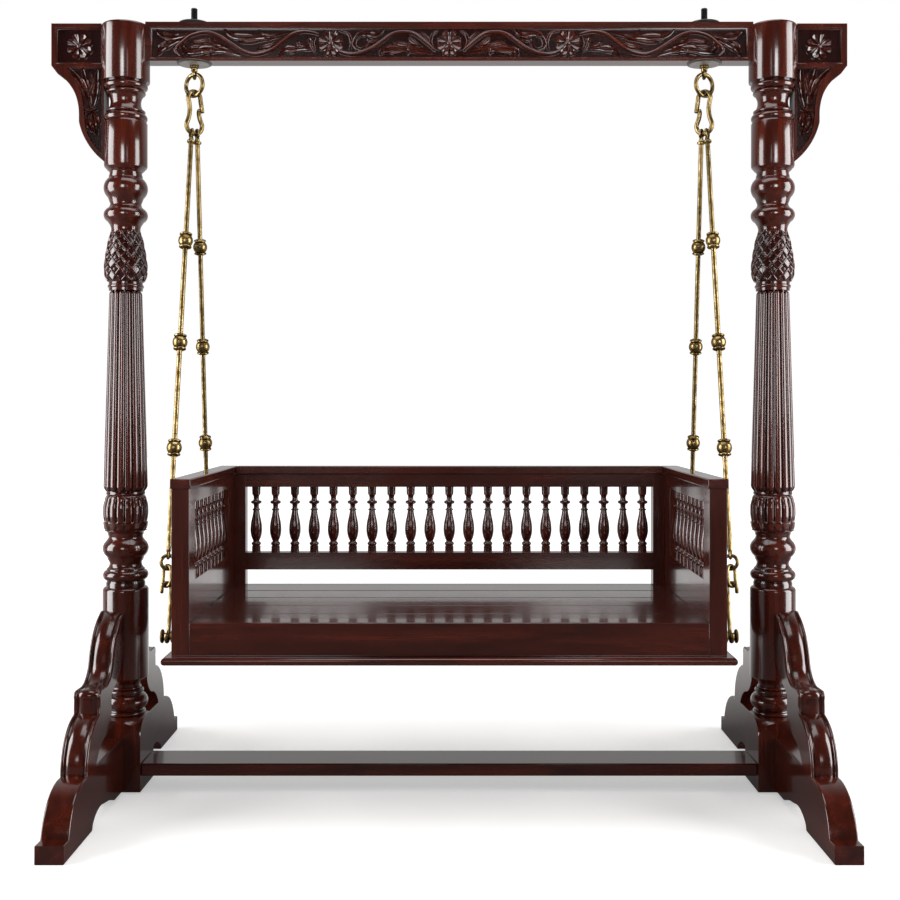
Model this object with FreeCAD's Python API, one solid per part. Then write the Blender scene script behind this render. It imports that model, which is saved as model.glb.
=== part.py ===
import FreeCAD, Part
import math
import os

os.makedirs("parts", exist_ok=True)

V = FreeCAD.Vector

# A carved hardwood swing stand with a bench hung on brass rods, in millimetres.
# X runs along the beam, the front faces -Y, Z is up and the foot pads stand at zero.
# Only the left half of a mirrored pair is drawn, and the right is its mirror image.

# Clearances
joint_gap = 0.1
dowel_gap = 0.05
link_gap = 0.3
pivot_gap = 0.3
ring_gap = 1.25
overrun = 4.0

# Posts, each turned above a square foot
post_clearance = 198.0
drum_radius = 60.2
foot_width = 114.0
foot_depth = 143.0
foot_lift = 5.0
foot_height = 196.0
pommel_drop = 46.0
pommel_width_share = 0.53
pommel_drop_share = 0.33
foot_turning_height = 102.0
lower_drum_height = 242.0
ring_turning_height = 151.0
cup_height = 95.0
shaft_height = 551.0
collar_height = 22.0
pineapple_height = 136.0
vase_turning_height = 174.0
middle_drum_height = 124.0
neck_height = 107.0
top_drum_height = 152.0
flute_count = 16
flute_bottom_radius = 6.5
flute_top_radius = 4.6
flute_start = 10.0
flute_end = 4.0
gadroon_radius = 4.5
gadroon_depth_share = 0.75

# Outlines of the turning, upwards: height share, radius share at mid height, or none, and at the end
foot_turning_shares = [
    (0, 0, 0.80), (0.12, 0.865, 0.78), (0.02, 0, 0.765), (0.41, 0.975, 0.73), (0.02, 0, 0.73),
    (0.10, 0.79, 0.68), (0, 0, 0.615), (0.085, 0.68, 0.615), (0.13, 0.635, 0.74), (0.115, 0, 1.0)]
lower_drum_shares = [(0.96, 0, 1.0), (0.04, 0.975, 0.854)]
ring_turning_shares = [
    (0.066, 0, 0.854), (0.046, 0, 0.806), (0.185, 0.995, 0.84), (0.026, 0, 0.83),
    (0.159, 0.705, 0.78), (0.053, 0, 0.814), (0.278, 1.005, 0.855), (0.04, 0, 0.78),
    (0.073, 0.752, 0.78), (0.073, 0.80, 0.90)]
band_share = 0.232
cup_shares = [
    (0, 0, 0.925), (band_share, 0, 0.985), (0, 0, 0.93), (0.358, 0.985, 0.99), (0.274, 0.975, 0.914),
    (0.136, 0.895, 0.822)]
shaft_foot_share = 0.97
shaft_top_share = 0.718
shaft_shares = [(0.044, 0.92, shaft_foot_share), (0.956, 0, shaft_top_share)]
collar_shares = [(0, 0, 0.74), (0.3, 0, 0.74), (0.45, 0.79, 0.74), (0.25, 0, 0.74)]
pineapple_shares = [(0.03, 0, 0.84), (0.27, 0.945, 0.96), (0.35, 0.92, 0.855), (0.35, 0.78, 0.66)]
vase_turning_shares = [
    (0.023, 0, 0.64), (0.092, 0.645, 0.70), (0.046, 0, 0.79), (0.205, 0.965, 0.79),
    (0.077, 0.70, 0.68), (0.046, 0, 0.73), (0.046, 0, 0.78), (0.282, 0.965, 0.805),
    (0.046, 0.745, 0.74), (0.046, 0, 0.70), (0.046, 0.725, 0.80), (0.045, 0, 0.90)]
middle_drum_share = 0.947
middle_drum_shares = [
    (0, 0, 0.92), (0.04, 0, middle_drum_share), (0.92, 0, middle_drum_share), (0.04, 0, 0.90)]
neck_cope_share = 0.975
neck_shares = [
    (0, 0, 0.86), (0.187, 0.95, 0.86), (0.028, 0, 0.80), (0.075, 0.86, 0.78), (0.393, 0.665, 0.80),
    (0.093, 0.87, 0.80), (0.028, 0, 0.86), (0.159, 0.965, 0.90), (0.037, 0, 0.90)]
top_drum_share = 1.055
top_drum_shares = [
    (0, 0, 1.04), (0.015, 0, top_drum_share), (0.955, 0, top_drum_share), (0.03, 1.044, 1.01)]

# Legs, scroll-sawn boards set a little outwards of the post's axis
leg_offset = 20.8
leg_thickness = 66.0
leg_reach = 561.0
leg_height = 480.0
leg_floor_share = 0.0208
leg_sill_share = 0.3087
leg_web_share = 0.07
leg_foot_share = foot_depth / 2 / leg_reach
# Outline from the top of the web: depth and height shares of each point, and of the arc's middle
leg_outline_shares = [
    ((0.094, 1.0), None), ((0.285, 0.7717), (0.205, 0.926)), ((0.424, 0.6704), (0.33, 0.6984)),
    ((0.474, 0.6704), None), ((0.499, 0.625), (0.496, 0.6627)), ((0.503, 0.5546), None),
    ((0.686, 0.2981), (0.624, 0.4833)), ((0.697, 0.2981), None), ((0.932, 0.0897), (0.847, 0.246)),
    ((1.0, 0.0897), None), ((1.0, 0), None), ((0.618, 0), None), ((0.606, 0.0289), None),
    ((0.437, 0.0685), (0.535, 0.0704)), ((0.335, 0.0502), None), ((0.267, leg_floor_share), None)]
leg_opening_shares = [
    ((0.556, leg_sill_share), None), ((0.440, 0.4061), (0.508, 0.3704)),
    ((0.319, 0.5103), (0.365, 0.4437)), ((0.319, 0.6019), None), ((0.223, 0.6588), (0.276, 0.625)),
    ((0.107, 0.7977), (0.152, 0.7186))]
leg_dowel_radius = 6.0
leg_dowel_length = 60.0
leg_dowel_height_shares = (0.10, 0.24, 0.914)

# Stretcher plank between the feet
stretcher_bottom = 45.0
stretcher_thickness = 33.0
stretcher_depth = 124.0
stretcher_tenon_length = 35.0
stretcher_tenon_thickness = 19.0
stretcher_tenon_depth = 96.0

# Beam between the posts, with a sunk field in its front for the carving
beam_rise = 5.0
beam_height = 105.0
beam_thickness = 50.0
beam_tenon_thickness = 28.0
beam_tenon_height = 60.0
field_depth = 6.0
field_end_margin = 20.0
field_top_margin = 17.0
field_bottom_margin = 11.0
rosette_radius = 36.0
rosette_petals = 8
rosette_height = 5.0
rosette_button_radius = 7.5
rosette_button_height = 8.0
rosette_spacing = 318.0

# End block with its scroll bracket, one board outside each post
bracket_inset = 45.0
bracket_width = 148.0
bracket_step = 5.0
bracket_drop = 375.0
bracket_thickness = 52.0
block_height = 113.0
block_margin_inner = 18.0
block_margin_outer = 18.0
block_margin_top = 12.0
block_margin_bottom = 9.0
# Scroll edge from the block down to the tip: reach and drop shares of the points and arc middles
scroll_shares = [
    ((0.885, 0.36), None), ((0.555, 0.517), (0.69, 0.425)), ((0.50, 0.66), (0.512, 0.587)),
    ((0.50, 0.704), None), ((0.0, 1.0), (0.33, 0.865))]
leaf_field_shares = [
    ((0.72, 0.325), None), ((0.476, 0.475), (0.585, 0.39)), ((0.41, 0.65), (0.43, 0.565)),
    ((0.40, 0.70), None), ((0.10, 0.92), (0.29, 0.83)), ((0.10, 0.325), None)]

# Hanging bolt through the beam, with its nut, plates and brass eye
hanger_clearance = 13.0
stud_radius = 8.5
stud_rise = 43.0
stud_pin_radius = 6.0
stud_pin_length = 12.0
washer_radius = 42.0
washer_thickness = 3.0
plate_radius = 47.0
plate_thickness = 6.0
nut_radius = 13.0
nut_height = 9.0
eye_wire_radius = 3.9
eye_hole_radius = 7.5
eye_shank_radius = 8.5

# Hanger: ring, pinched hook, rods and beads
ring_radius = 28.0
ring_wire_radius = 4.8
ring_turn = -30.0
hook_turn = 35.0
hook_wire_radius = 5.4
hook_upper_radius = 17.5
hook_lower_radius = 22.0
hook_lobe_spacing = 74.5
hook_side_radius = 89.0
hook_mouth = 5.0
rod_radius = 6.2
rod_eye_radius = 10.7
rod_eye_wire = 3.5
rod_eye_offset = 8.0
rod_eye_sag = 0.9
rod_collar_radius = 10.0
rod_collar_drop = 24.0
rod_collar_height = 7.0
rod_foot_eye_radius = 8.6
rod_foot_eye_wire = 3.2
bead_radius = 19.0
bead_height = 44.0
bead_count = 3
first_bead_drop = 305.0
bead_pitch = 278.0
bead_shares = [
    (0, 0, 0.55), (0.04, 0, 0.66), (0.13, 0.86, 0.66), (0.66, 1.0, 0.66), (0.13, 0.86, 0.66),
    (0.04, 0, 0.55)]

# Lower ring, link and twisted hook under each rod
lower_wire_radius = 4.2
lower_ring_radius = 17.0
link_radius = 13.7
link_straight = 24.0
lower_ring_turn = 28.0
link_turn = -35.0
lower_hook_turn = 28.0
lower_hook_radius = 11.5
lower_hook_rise = 119.0
lower_hook_tip = 15.0
lower_hook_toe = 7.0
aim_rounds = 6

# Hook studs on the sides of the seat
stud_neck_radius = 8.5
stud_head_radius = 17.0
stud_flange_thickness = 8.5
stud_head_thickness = 6.0
stud_neck_length = 19.0
stud_tang_radius = 6.0
stud_tang_length = 32.0
stud_inset = 35.0
stud_z = 460.0

# Seat
seat_half_width = 676.0
seat_half_depth = 325.0
side_thickness = 43.0
rail_thickness = 40.0
rail_bottom = 417.0
deck_top = 498.0
plank_thickness = 22.0
plank_lip = 8.0
plank_count = 5
plank_gap = 2.0
batten_width = 40.0
batten_height = 35.0
batten_count = 5
moulding_height = 19.0
moulding_projection = 21.0
moulding_round_share = 0.46
arm_top = 849.0
cap_thickness = 24.0
cap_overhang = 4.0
opening_bottom = 595.0
opening_top = 788.0
front_post_depth = 69.0
rear_post_depth = 126.0
back_stile_width = 34.0
back_rail_bottom = 545.0
seat_tenon_length = 25.0
seat_tenon_share = 0.32
tenon_height_share = 0.6

# Balusters of the back and the arms
baluster_radius = 17.2
back_baluster_count = 21
arm_baluster_count = 9
dowel_radius = 7.0
dowel_length = 10.0
dowel_hole_spare = 0.3
baluster_shares = [
    (0, 0, 0.74), (0.085, 0, 0.74), (0.012, 0, 0.60), (0.053, 0.82, 0.60), (0.03, 0.54, 0.62),
    (0.14, 0.90, 1.0), (0.16, 0.955, 0.80), (0.14, 0.62, 0.50), (0, 0, 0.60), (0.022, 0.68, 0.60),
    (0, 0, 0.47), (0.075, 0.44, 0.52), (0.045, 0.93, 0.55), (0.09, 0.46, 0.62), (0, 0, 0.70),
    (0.118, 0, 0.74)]

# Places that follow from the sizes above
hang_x = seat_half_width + hanger_clearance
post_x = seat_half_width + post_clearance
bracket_inner = post_x + bracket_inset
bracket_reach = bracket_inner + bracket_width
drum_bottom = foot_height + foot_turning_height
band_bottom = drum_bottom + lower_drum_height + ring_turning_height
cup_bottom = band_bottom + cup_height * band_share
shaft_bottom = band_bottom + cup_height
shaft_top = shaft_bottom + shaft_height
middle_drum_bottom = shaft_top + collar_height + pineapple_height + vase_turning_height
middle_drum_top = middle_drum_bottom + middle_drum_height
top_drum_bottom = middle_drum_top + neck_height
top_drum_radius = drum_radius * top_drum_share
beam_top = top_drum_bottom + top_drum_height + beam_rise
beam_bottom = beam_top - beam_height
bracket_top = beam_top - bracket_step
stud_top = beam_top + stud_rise
stud_y = seat_half_depth - stud_inset
back_opening = 2 * (seat_half_width - side_thickness - back_stile_width)
baluster_pitch = back_opening / back_baluster_count


def box(x0, x1, y0, y1, z0, z1):
    return Part.makeBox(abs(x1 - x0), abs(y1 - y0), abs(z1 - z0), V(min(x0, x1), min(y0, y1), min(z0, z1)))


def mirrored(shape):
    return shape.mirror(V(0, 0, 0), V(1, 0, 0))


def front_to_rear(shape):
    return shape.mirror(V(0, 0, 0), V(0, 1, 0))


def save(name, solids):
    """Write one node: a single solid, or a group of separate ones."""
    shape = Part.makeCompound(solids) if isinstance(solids, list) else solids
    shape.exportStep("parts/" + name + ".step")


def save_pair(name, shape):
    """Write a left piece and its mirror image on the right."""
    save("left_" + name, shape)
    solids = shape if isinstance(shape, list) else [shape]
    images = [mirrored(solid) for solid in solids]
    save("right_" + name, images if isinstance(shape, list) else images[0])


def turned(base_z, radius, sections):
    """A solid of revolution about Z from sections of (height, outline shares)."""
    z = base_z
    r = 0
    edges = []
    for height, shares in sections:
        total = sum(step[0] for step in shares)
        for height_share, mid_share, end_share in shares:
            top_z = z + height * height_share / total
            end_r = radius * end_share
            start, end = V(r, 0, z), V(end_r, 0, top_z)
            if start.distanceToPoint(end) > 0:
                if mid_share:
                    middle = V(radius * mid_share, 0, (z + top_z) / 2)
                    edges.append(Part.Arc(start, middle, end).toShape())
                else:
                    edges.append(Part.makeLine(start, end))
            z, r = top_z, end_r
    edges.append(Part.makeLine(V(r, 0, z), V(0, 0, z)))
    edges.append(Part.makeLine(V(0, 0, z), V(0, 0, base_z)))
    face = Part.Face(Part.Wire(edges))
    return face.revolve(V(0, 0, 0), V(0, 0, 1), 360)


def sawn(points, place, thickness_vector):
    """A board sawn to an outline of (point, arc middle or none), placed by a function."""
    edges = []
    last = place(points[-1][0])
    for point, middle in points:
        end = place(point)
        if middle:
            edges.append(Part.Arc(last, place(middle), end).toShape())
        else:
            edges.append(Part.makeLine(last, end))
        last = end
    return Part.Face(Part.Wire(edges)).extrude(thickness_vector)


def round_dowel(start, direction, length, radius):
    return Part.makeCylinder(radius, length, start, direction)


def frame_place(origin, across, down):
    """Placement that turns local X to across and local -Z to down."""
    up = down * -1
    side = up.cross(across)
    matrix = FreeCAD.Matrix(across.x, side.x, up.x, origin.x, across.y, side.y, up.y, origin.y,
                            across.z, side.z, up.z, origin.z, 0, 0, 0, 1)
    return FreeCAD.Placement(matrix)


def wire_ring(centre, radius, wire_radius, normal):
    return Part.makeTorus(radius, wire_radius, centre, normal)


def rod_along(edges, wire_radius):
    """A round bar bent along a path, with rounded ends."""
    path = Part.Wire(edges)
    start = edges[0].valueAt(edges[0].FirstParameter)
    tangent = edges[0].tangentAt(edges[0].FirstParameter)
    section = Part.Wire([Part.makeCircle(wire_radius, start, tangent)])
    return path.makePipeShell([section], True, True)


# Posts

def pommel():
    """The square foot, whose top was rounded off as it turned in the lathe."""
    corner = math.hypot(foot_width, foot_depth) / 2
    low = foot_height - pommel_drop
    middle = V((corner + foot_width / 2) * pommel_width_share, 0,
               foot_height - pommel_drop * pommel_drop_share)
    edges = [
        Part.makeLine(V(0, 0, foot_lift), V(corner, 0, foot_lift)),
        Part.makeLine(V(corner, 0, foot_lift), V(corner, 0, low)),
        Part.Arc(V(corner, 0, low), middle, V(foot_width / 2, 0, foot_height)).toShape(),
        Part.makeLine(V(foot_width / 2, 0, foot_height), V(0, 0, foot_height)),
        Part.makeLine(V(0, 0, foot_height), V(0, 0, foot_lift))]
    rounded = Part.Face(Part.Wire(edges)).revolve(V(0, 0, 0), V(0, 0, 1), 360)
    block = box(-foot_width / 2, foot_width / 2, -foot_depth / 2, foot_depth / 2, foot_lift, foot_height)
    return block.common(rounded)


def post_blank():
    """The whole turned post about the Z axis, fluted, before its mortises."""
    turning = turned(foot_height, drum_radius, [
        (foot_turning_height, foot_turning_shares), (lower_drum_height, lower_drum_shares),
        (ring_turning_height, ring_turning_shares), (cup_height, cup_shares),
        (shaft_height, shaft_shares), (collar_height, collar_shares),
        (pineapple_height, pineapple_shares), (vase_turning_height, vase_turning_shares),
        (middle_drum_height, middle_drum_shares), (neck_height, neck_shares),
        (top_drum_height, top_drum_shares)])
    cutters = []
    low_radius = drum_radius * shaft_foot_share
    high_radius = drum_radius * shaft_top_share
    for index in range(flute_count):
        angle = 2 * math.pi * (index + 0.5) / flute_count
        out = V(math.cos(angle), math.sin(angle), 0)
        low = out * low_radius + V(0, 0, shaft_bottom + flute_start)
        high = out * high_radius + V(0, 0, shaft_top - flute_end)
        run = high - low
        cutters.append(Part.makeCone(flute_bottom_radius, flute_top_radius, run.Length, low, run))
        gadroon = out * (drum_radius + gadroon_radius * (1 - gadroon_depth_share)) + V(0, 0, cup_bottom)
        cutters.append(Part.makeCylinder(gadroon_radius, shaft_bottom - cup_bottom, gadroon))
    return turning.cut(Part.makeCompound(cutters)).fuse(pommel())


beam_middle = beam_bottom + beam_height / 2
leg_x = post_x + leg_offset
dowels = []
for end in (-1, 1):
    for share in leg_dowel_height_shares:
        depth = drum_radius if share * leg_height > drum_bottom else foot_depth / 2
        start_y = end * (depth - leg_dowel_length / 2)
        dowels.append((V(-leg_x, start_y, share * leg_height), V(0, end, 0)))


def dowel_holes():
    return [round_dowel(start - way * joint_gap, way, leg_dowel_length + 2 * joint_gap,
                        leg_dowel_radius + dowel_gap) for start, way in dowels]


post = post_blank()
post.translate(V(-post_x, 0, 0))
mortises = dowel_holes()
mortises.append(box(
    -post_x - top_drum_radius - overrun, -post_x + top_drum_radius + overrun,
    -beam_tenon_thickness / 2 - joint_gap, beam_tenon_thickness / 2 + joint_gap,
    beam_middle - beam_tenon_height / 2 - joint_gap, beam_middle + beam_tenon_height / 2 + joint_gap))
stretcher_middle = stretcher_bottom + stretcher_thickness / 2
foot_inner_x = post_x - foot_width / 2
mortises.append(box(
    -foot_inner_x + overrun, -foot_inner_x - stretcher_tenon_length - joint_gap,
    -stretcher_tenon_depth / 2 - joint_gap, stretcher_tenon_depth / 2 + joint_gap,
    stretcher_middle - stretcher_tenon_thickness / 2 - joint_gap,
    stretcher_middle + stretcher_tenon_thickness / 2 + joint_gap))
save_pair("post", post.cut(Part.makeCompound(mortises)))


# Legs

def leg_place(point):
    return V(-leg_x - leg_thickness / 2, -point[0] * leg_reach, point[1] * leg_height)


leg_points = [((leg_web_share, 1.0), None)] + leg_outline_shares
leg_points += [((leg_foot_share, leg_floor_share), None), ((leg_foot_share, leg_sill_share), None)]
web_foot_share = leg_opening_shares[-1][0][1]
leg_points += leg_opening_shares + [((leg_web_share, web_foot_share), None)]
leg = sawn(leg_points, leg_place, V(leg_thickness, 0, 0))
leg = leg.cut(Part.makeCylinder(drum_radius + dowel_gap, leg_height + overrun, V(-post_x, 0, 0)))
holes = Part.makeCompound(dowel_holes())
save_pair("front_leg", leg.cut(holes))
save_pair("rear_leg", front_to_rear(leg).cut(holes))
left_dowels = [round_dowel(start, way, leg_dowel_length, leg_dowel_radius) for start, way in dowels]
save("leg_dowels", left_dowels + [mirrored(dowel) for dowel in left_dowels])

# Stretcher

stretcher = box(-foot_inner_x, foot_inner_x, -stretcher_depth / 2, stretcher_depth / 2,
                stretcher_bottom, stretcher_bottom + stretcher_thickness)
tenon_x = foot_inner_x + stretcher_tenon_length
stretcher = stretcher.fuse(box(
    -tenon_x, tenon_x, -stretcher_tenon_depth / 2, stretcher_tenon_depth / 2,
    stretcher_middle - stretcher_tenon_thickness / 2, stretcher_middle + stretcher_tenon_thickness / 2))
save("stretcher", stretcher.removeSplitter())


# Beam

def rosette(centre_x, face_y, centre_z):
    """A carved flower of round petals about a button, standing on a sunk field."""
    petal_radius = rosette_radius * math.sin(math.pi / rosette_petals)
    ring = rosette_radius - petal_radius
    flower = Part.makeCylinder(rosette_button_radius, rosette_button_height,
                               V(centre_x, face_y, centre_z), V(0, -1, 0))
    for index in range(rosette_petals):
        angle = 2 * math.pi * (index + 0.5) / rosette_petals
        petal = Part.makeCylinder(
            petal_radius, rosette_height,
            V(centre_x + ring * math.cos(angle), face_y, centre_z + ring * math.sin(angle)),
            V(0, -1, 0))
        flower = flower.fuse(petal)
    disc = Part.makeCylinder(ring, rosette_height / 2, V(centre_x, face_y, centre_z), V(0, -1, 0))
    return flower.fuse(disc)


beam_end = post_x - top_drum_radius * math.cos(math.asin(beam_thickness / 2 / top_drum_radius))
beam = box(-beam_end, beam_end, -beam_thickness / 2, beam_thickness / 2, beam_bottom, beam_top)
drum_cutter = Part.makeCylinder(top_drum_radius + dowel_gap, beam_height * 2,
                                V(-post_x, 0, beam_bottom - beam_height / 2))
beam = beam.cut(Part.makeCompound([drum_cutter, mirrored(drum_cutter)]))
beam_tenon_bottom = beam_middle - beam_tenon_height / 2
beam_tenon_top = beam_middle + beam_tenon_height / 2
beam = beam.fuse(box(-post_x, post_x, -beam_tenon_thickness / 2, beam_tenon_thickness / 2,
                     beam_tenon_bottom, beam_tenon_top))
field_x = beam_end - field_end_margin
field_y = -beam_thickness / 2 + field_depth
beam = beam.cut(box(-field_x, field_x, -beam_thickness / 2 - overrun, field_y,
                    beam_bottom + field_bottom_margin, beam_top - field_top_margin))
field_middle = (beam_bottom + field_bottom_margin + beam_top - field_top_margin) / 2
for index in (-1, 0, 1):
    beam = beam.fuse(rosette(index * rosette_spacing, field_y, field_middle))
stud_hole = Part.makeCylinder(stud_radius + joint_gap, beam_height * 2,
                              V(-hang_x, 0, beam_bottom - beam_height / 2))
beam = beam.cut(Part.makeCompound([stud_hole, mirrored(stud_hole)]))
save("beam", beam)


# End brackets

def bracket_place(point):
    return V(-bracket_inner - point[0] * (bracket_reach - bracket_inner), -bracket_thickness / 2,
             bracket_top - point[1] * bracket_drop)


block_share = block_height / bracket_drop
bracket = sawn([((0.0, 0.0), None), ((1.0, 0.0), None), ((1.0, block_share), None)] + scroll_shares,
               bracket_place, V(0, bracket_thickness, 0))
bracket_face = -bracket_thickness / 2
panel_y = bracket_face + field_depth
panel = box(-bracket_inner - block_margin_inner, -bracket_reach + block_margin_outer,
            bracket_face - overrun, panel_y, bracket_top - block_height + block_margin_bottom,
            bracket_top - block_margin_top)
leaf_field = sawn(leaf_field_shares, bracket_place, V(0, field_depth, 0))
bracket = bracket.cut(Part.makeCompound([panel, leaf_field]))
panel_x = -(bracket_inner + block_margin_inner + bracket_reach - block_margin_outer) / 2
panel_z = bracket_top - (block_height - block_margin_bottom + block_margin_top) / 2
bracket = bracket.fuse(rosette(panel_x, panel_y, panel_z))
upper_cope = Part.makeCylinder(top_drum_radius + dowel_gap, bracket_drop,
                               V(-post_x, 0, top_drum_bottom - joint_gap))
neck_cope = Part.makeCylinder(drum_radius * neck_cope_share, neck_height, V(-post_x, 0, middle_drum_top))
lower_cope = Part.makeCylinder(drum_radius * middle_drum_share + dowel_gap, bracket_drop,
                               V(-post_x, 0, middle_drum_top - bracket_drop))
bracket = bracket.cut(Part.makeCompound([upper_cope, neck_cope, lower_cope]))
bracket = bracket.fuse(box(-post_x - joint_gap, -bracket_reach + block_margin_outer,
                           -beam_tenon_thickness / 2, beam_tenon_thickness / 2,
                           beam_tenon_bottom, beam_tenon_top))
save_pair("end_bracket", bracket)

# Hanging bolts

washer = Part.makeCylinder(washer_radius, washer_thickness, V(-hang_x, 0, beam_top))
washer = washer.cut(stud_hole)
save("beam_top_washers", [washer, mirrored(washer)])
plate = Part.makeCylinder(plate_radius, plate_thickness, V(-hang_x, 0, beam_bottom - plate_thickness))
plate = plate.cut(stud_hole)
save("beam_bottom_plates", [plate, mirrored(plate)])
plate_bottom = beam_bottom - plate_thickness
stud = Part.makeCylinder(stud_radius, stud_top - plate_bottom, V(-hang_x, 0, plate_bottom))
stud = stud.fuse(Part.makeCylinder(stud_pin_radius, stud_pin_length,
                                   V(-hang_x, 0, plate_bottom - stud_pin_length)))
save("hanging_studs", [stud, mirrored(stud)])
nut_angles = [math.pi * corner / 3 for corner in range(7)]
nut_corners = [V(-hang_x + nut_radius * math.cos(angle), nut_radius * math.sin(angle),
                 beam_top + washer_thickness) for angle in nut_angles]
nut = Part.Face(Part.makePolygon(nut_corners)).extrude(V(0, 0, nut_height)).cut(stud_hole)
save("stud_nuts", [nut, mirrored(nut)])
eye_radius = eye_hole_radius + eye_wire_radius
eye_shank_length = stud_pin_length + eye_wire_radius
eye_z = plate_bottom - eye_shank_length - eye_hole_radius
eye = wire_ring(V(-hang_x, 0, eye_z), eye_radius, eye_wire_radius, V(1, 0, 0))
shank = Part.makeCylinder(eye_shank_radius, eye_shank_length,
                          V(-hang_x, 0, plate_bottom - eye_shank_length))
eye = eye.fuse(shank)
eye = eye.cut(Part.makeCylinder(stud_pin_radius + dowel_gap, stud_pin_length + joint_gap,
                                V(-hang_x, 0, plate_bottom - stud_pin_length - joint_gap)))
save_pair("eye", eye)

# Ring, which hangs in the eye, and the pinched hook that hangs in the ring

ring_top_z = eye_z - eye_hole_radius + ring_gap + ring_wire_radius
ring_z = ring_top_z - ring_radius
ring_way = V(-math.cos(math.radians(ring_turn)), -math.sin(math.radians(ring_turn)), 0)
ring_normal = V(ring_way.y, -ring_way.x, 0)
save_pair("ring", wire_ring(V(-hang_x, 0, ring_z), ring_radius, ring_wire_radius, ring_normal))
hook_top_z = ring_z - ring_radius + ring_wire_radius + hook_wire_radius + pivot_gap
hook_way = V(-math.cos(math.radians(hook_turn)), -math.sin(math.radians(hook_turn)), 0)
hook_place = frame_place(V(-hang_x, 0, hook_top_z - hook_upper_radius - hook_lobe_spacing), hook_way,
                         V(0, 0, -1))


def pinched_hook():
    """A bar bent to two lobes with a narrow waist, whose mouth is on the side nearer the seat's middle."""
    upper_reach = hook_upper_radius + hook_side_radius
    lower_reach = hook_lower_radius + hook_side_radius
    side_z = (lower_reach ** 2 - upper_reach ** 2 + hook_lobe_spacing ** 2) / (2 * hook_lobe_spacing)
    side_x = math.sqrt(lower_reach ** 2 - side_z ** 2)
    low = V(side_x, 0, side_z) * (hook_lower_radius / lower_reach)
    high = V(0, 0, hook_lobe_spacing) + V(side_x, 0, side_z - hook_lobe_spacing) * (
        hook_upper_radius / upper_reach)
    waist_x = side_x - hook_side_radius
    mouth_low = V(waist_x, 0, side_z - hook_mouth / 2)
    mouth_high = V(waist_x, 0, side_z + hook_mouth / 2)

    def other(point):
        return V(-point.x, point.y, point.z)

    def halfway(start, end):
        middle = (start + end) * 0.5
        centre = V(side_x, 0, side_z)
        return centre + (middle - centre).normalize() * hook_side_radius

    edges = [
        Part.Arc(other(mouth_high), other(halfway(mouth_high, high)), other(high)).toShape(),
        Part.Arc(other(high), V(0, 0, hook_lobe_spacing + hook_upper_radius), high).toShape(),
        Part.Arc(high, V(waist_x, 0, side_z), low).toShape(),
        Part.Arc(low, V(0, 0, -hook_lower_radius), other(low)).toShape(),
        Part.Arc(other(low), other(halfway(low, mouth_low)), other(mouth_low)).toShape()]
    return rod_along(edges, hook_wire_radius)


s_hook = pinched_hook()
s_hook.Placement = hook_place
save_pair("s_hook", s_hook)

# Rods with their eyes and beads, and the ring, link and hook below each

hook_bottom_z = hook_top_z - hook_upper_radius - hook_lobe_spacing - hook_lower_radius
eye_rise = hook_lower_radius - math.sqrt(hook_lower_radius ** 2 - rod_eye_offset ** 2)
stud_outer_x = seat_half_width + stud_flange_thickness
stud_neck_x = stud_outer_x + stud_neck_length / 2
bend_radius = stud_neck_radius + pivot_gap + lower_wire_radius
wire_step = 2 * lower_wire_radius + link_gap
lower = {"rods": [], "beads": [], "rings": [], "links": [], "hooks": []}


def turned_way(across, side, degrees):
    angle = math.radians(degrees)
    return across * math.cos(angle) + side * math.sin(angle)


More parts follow.
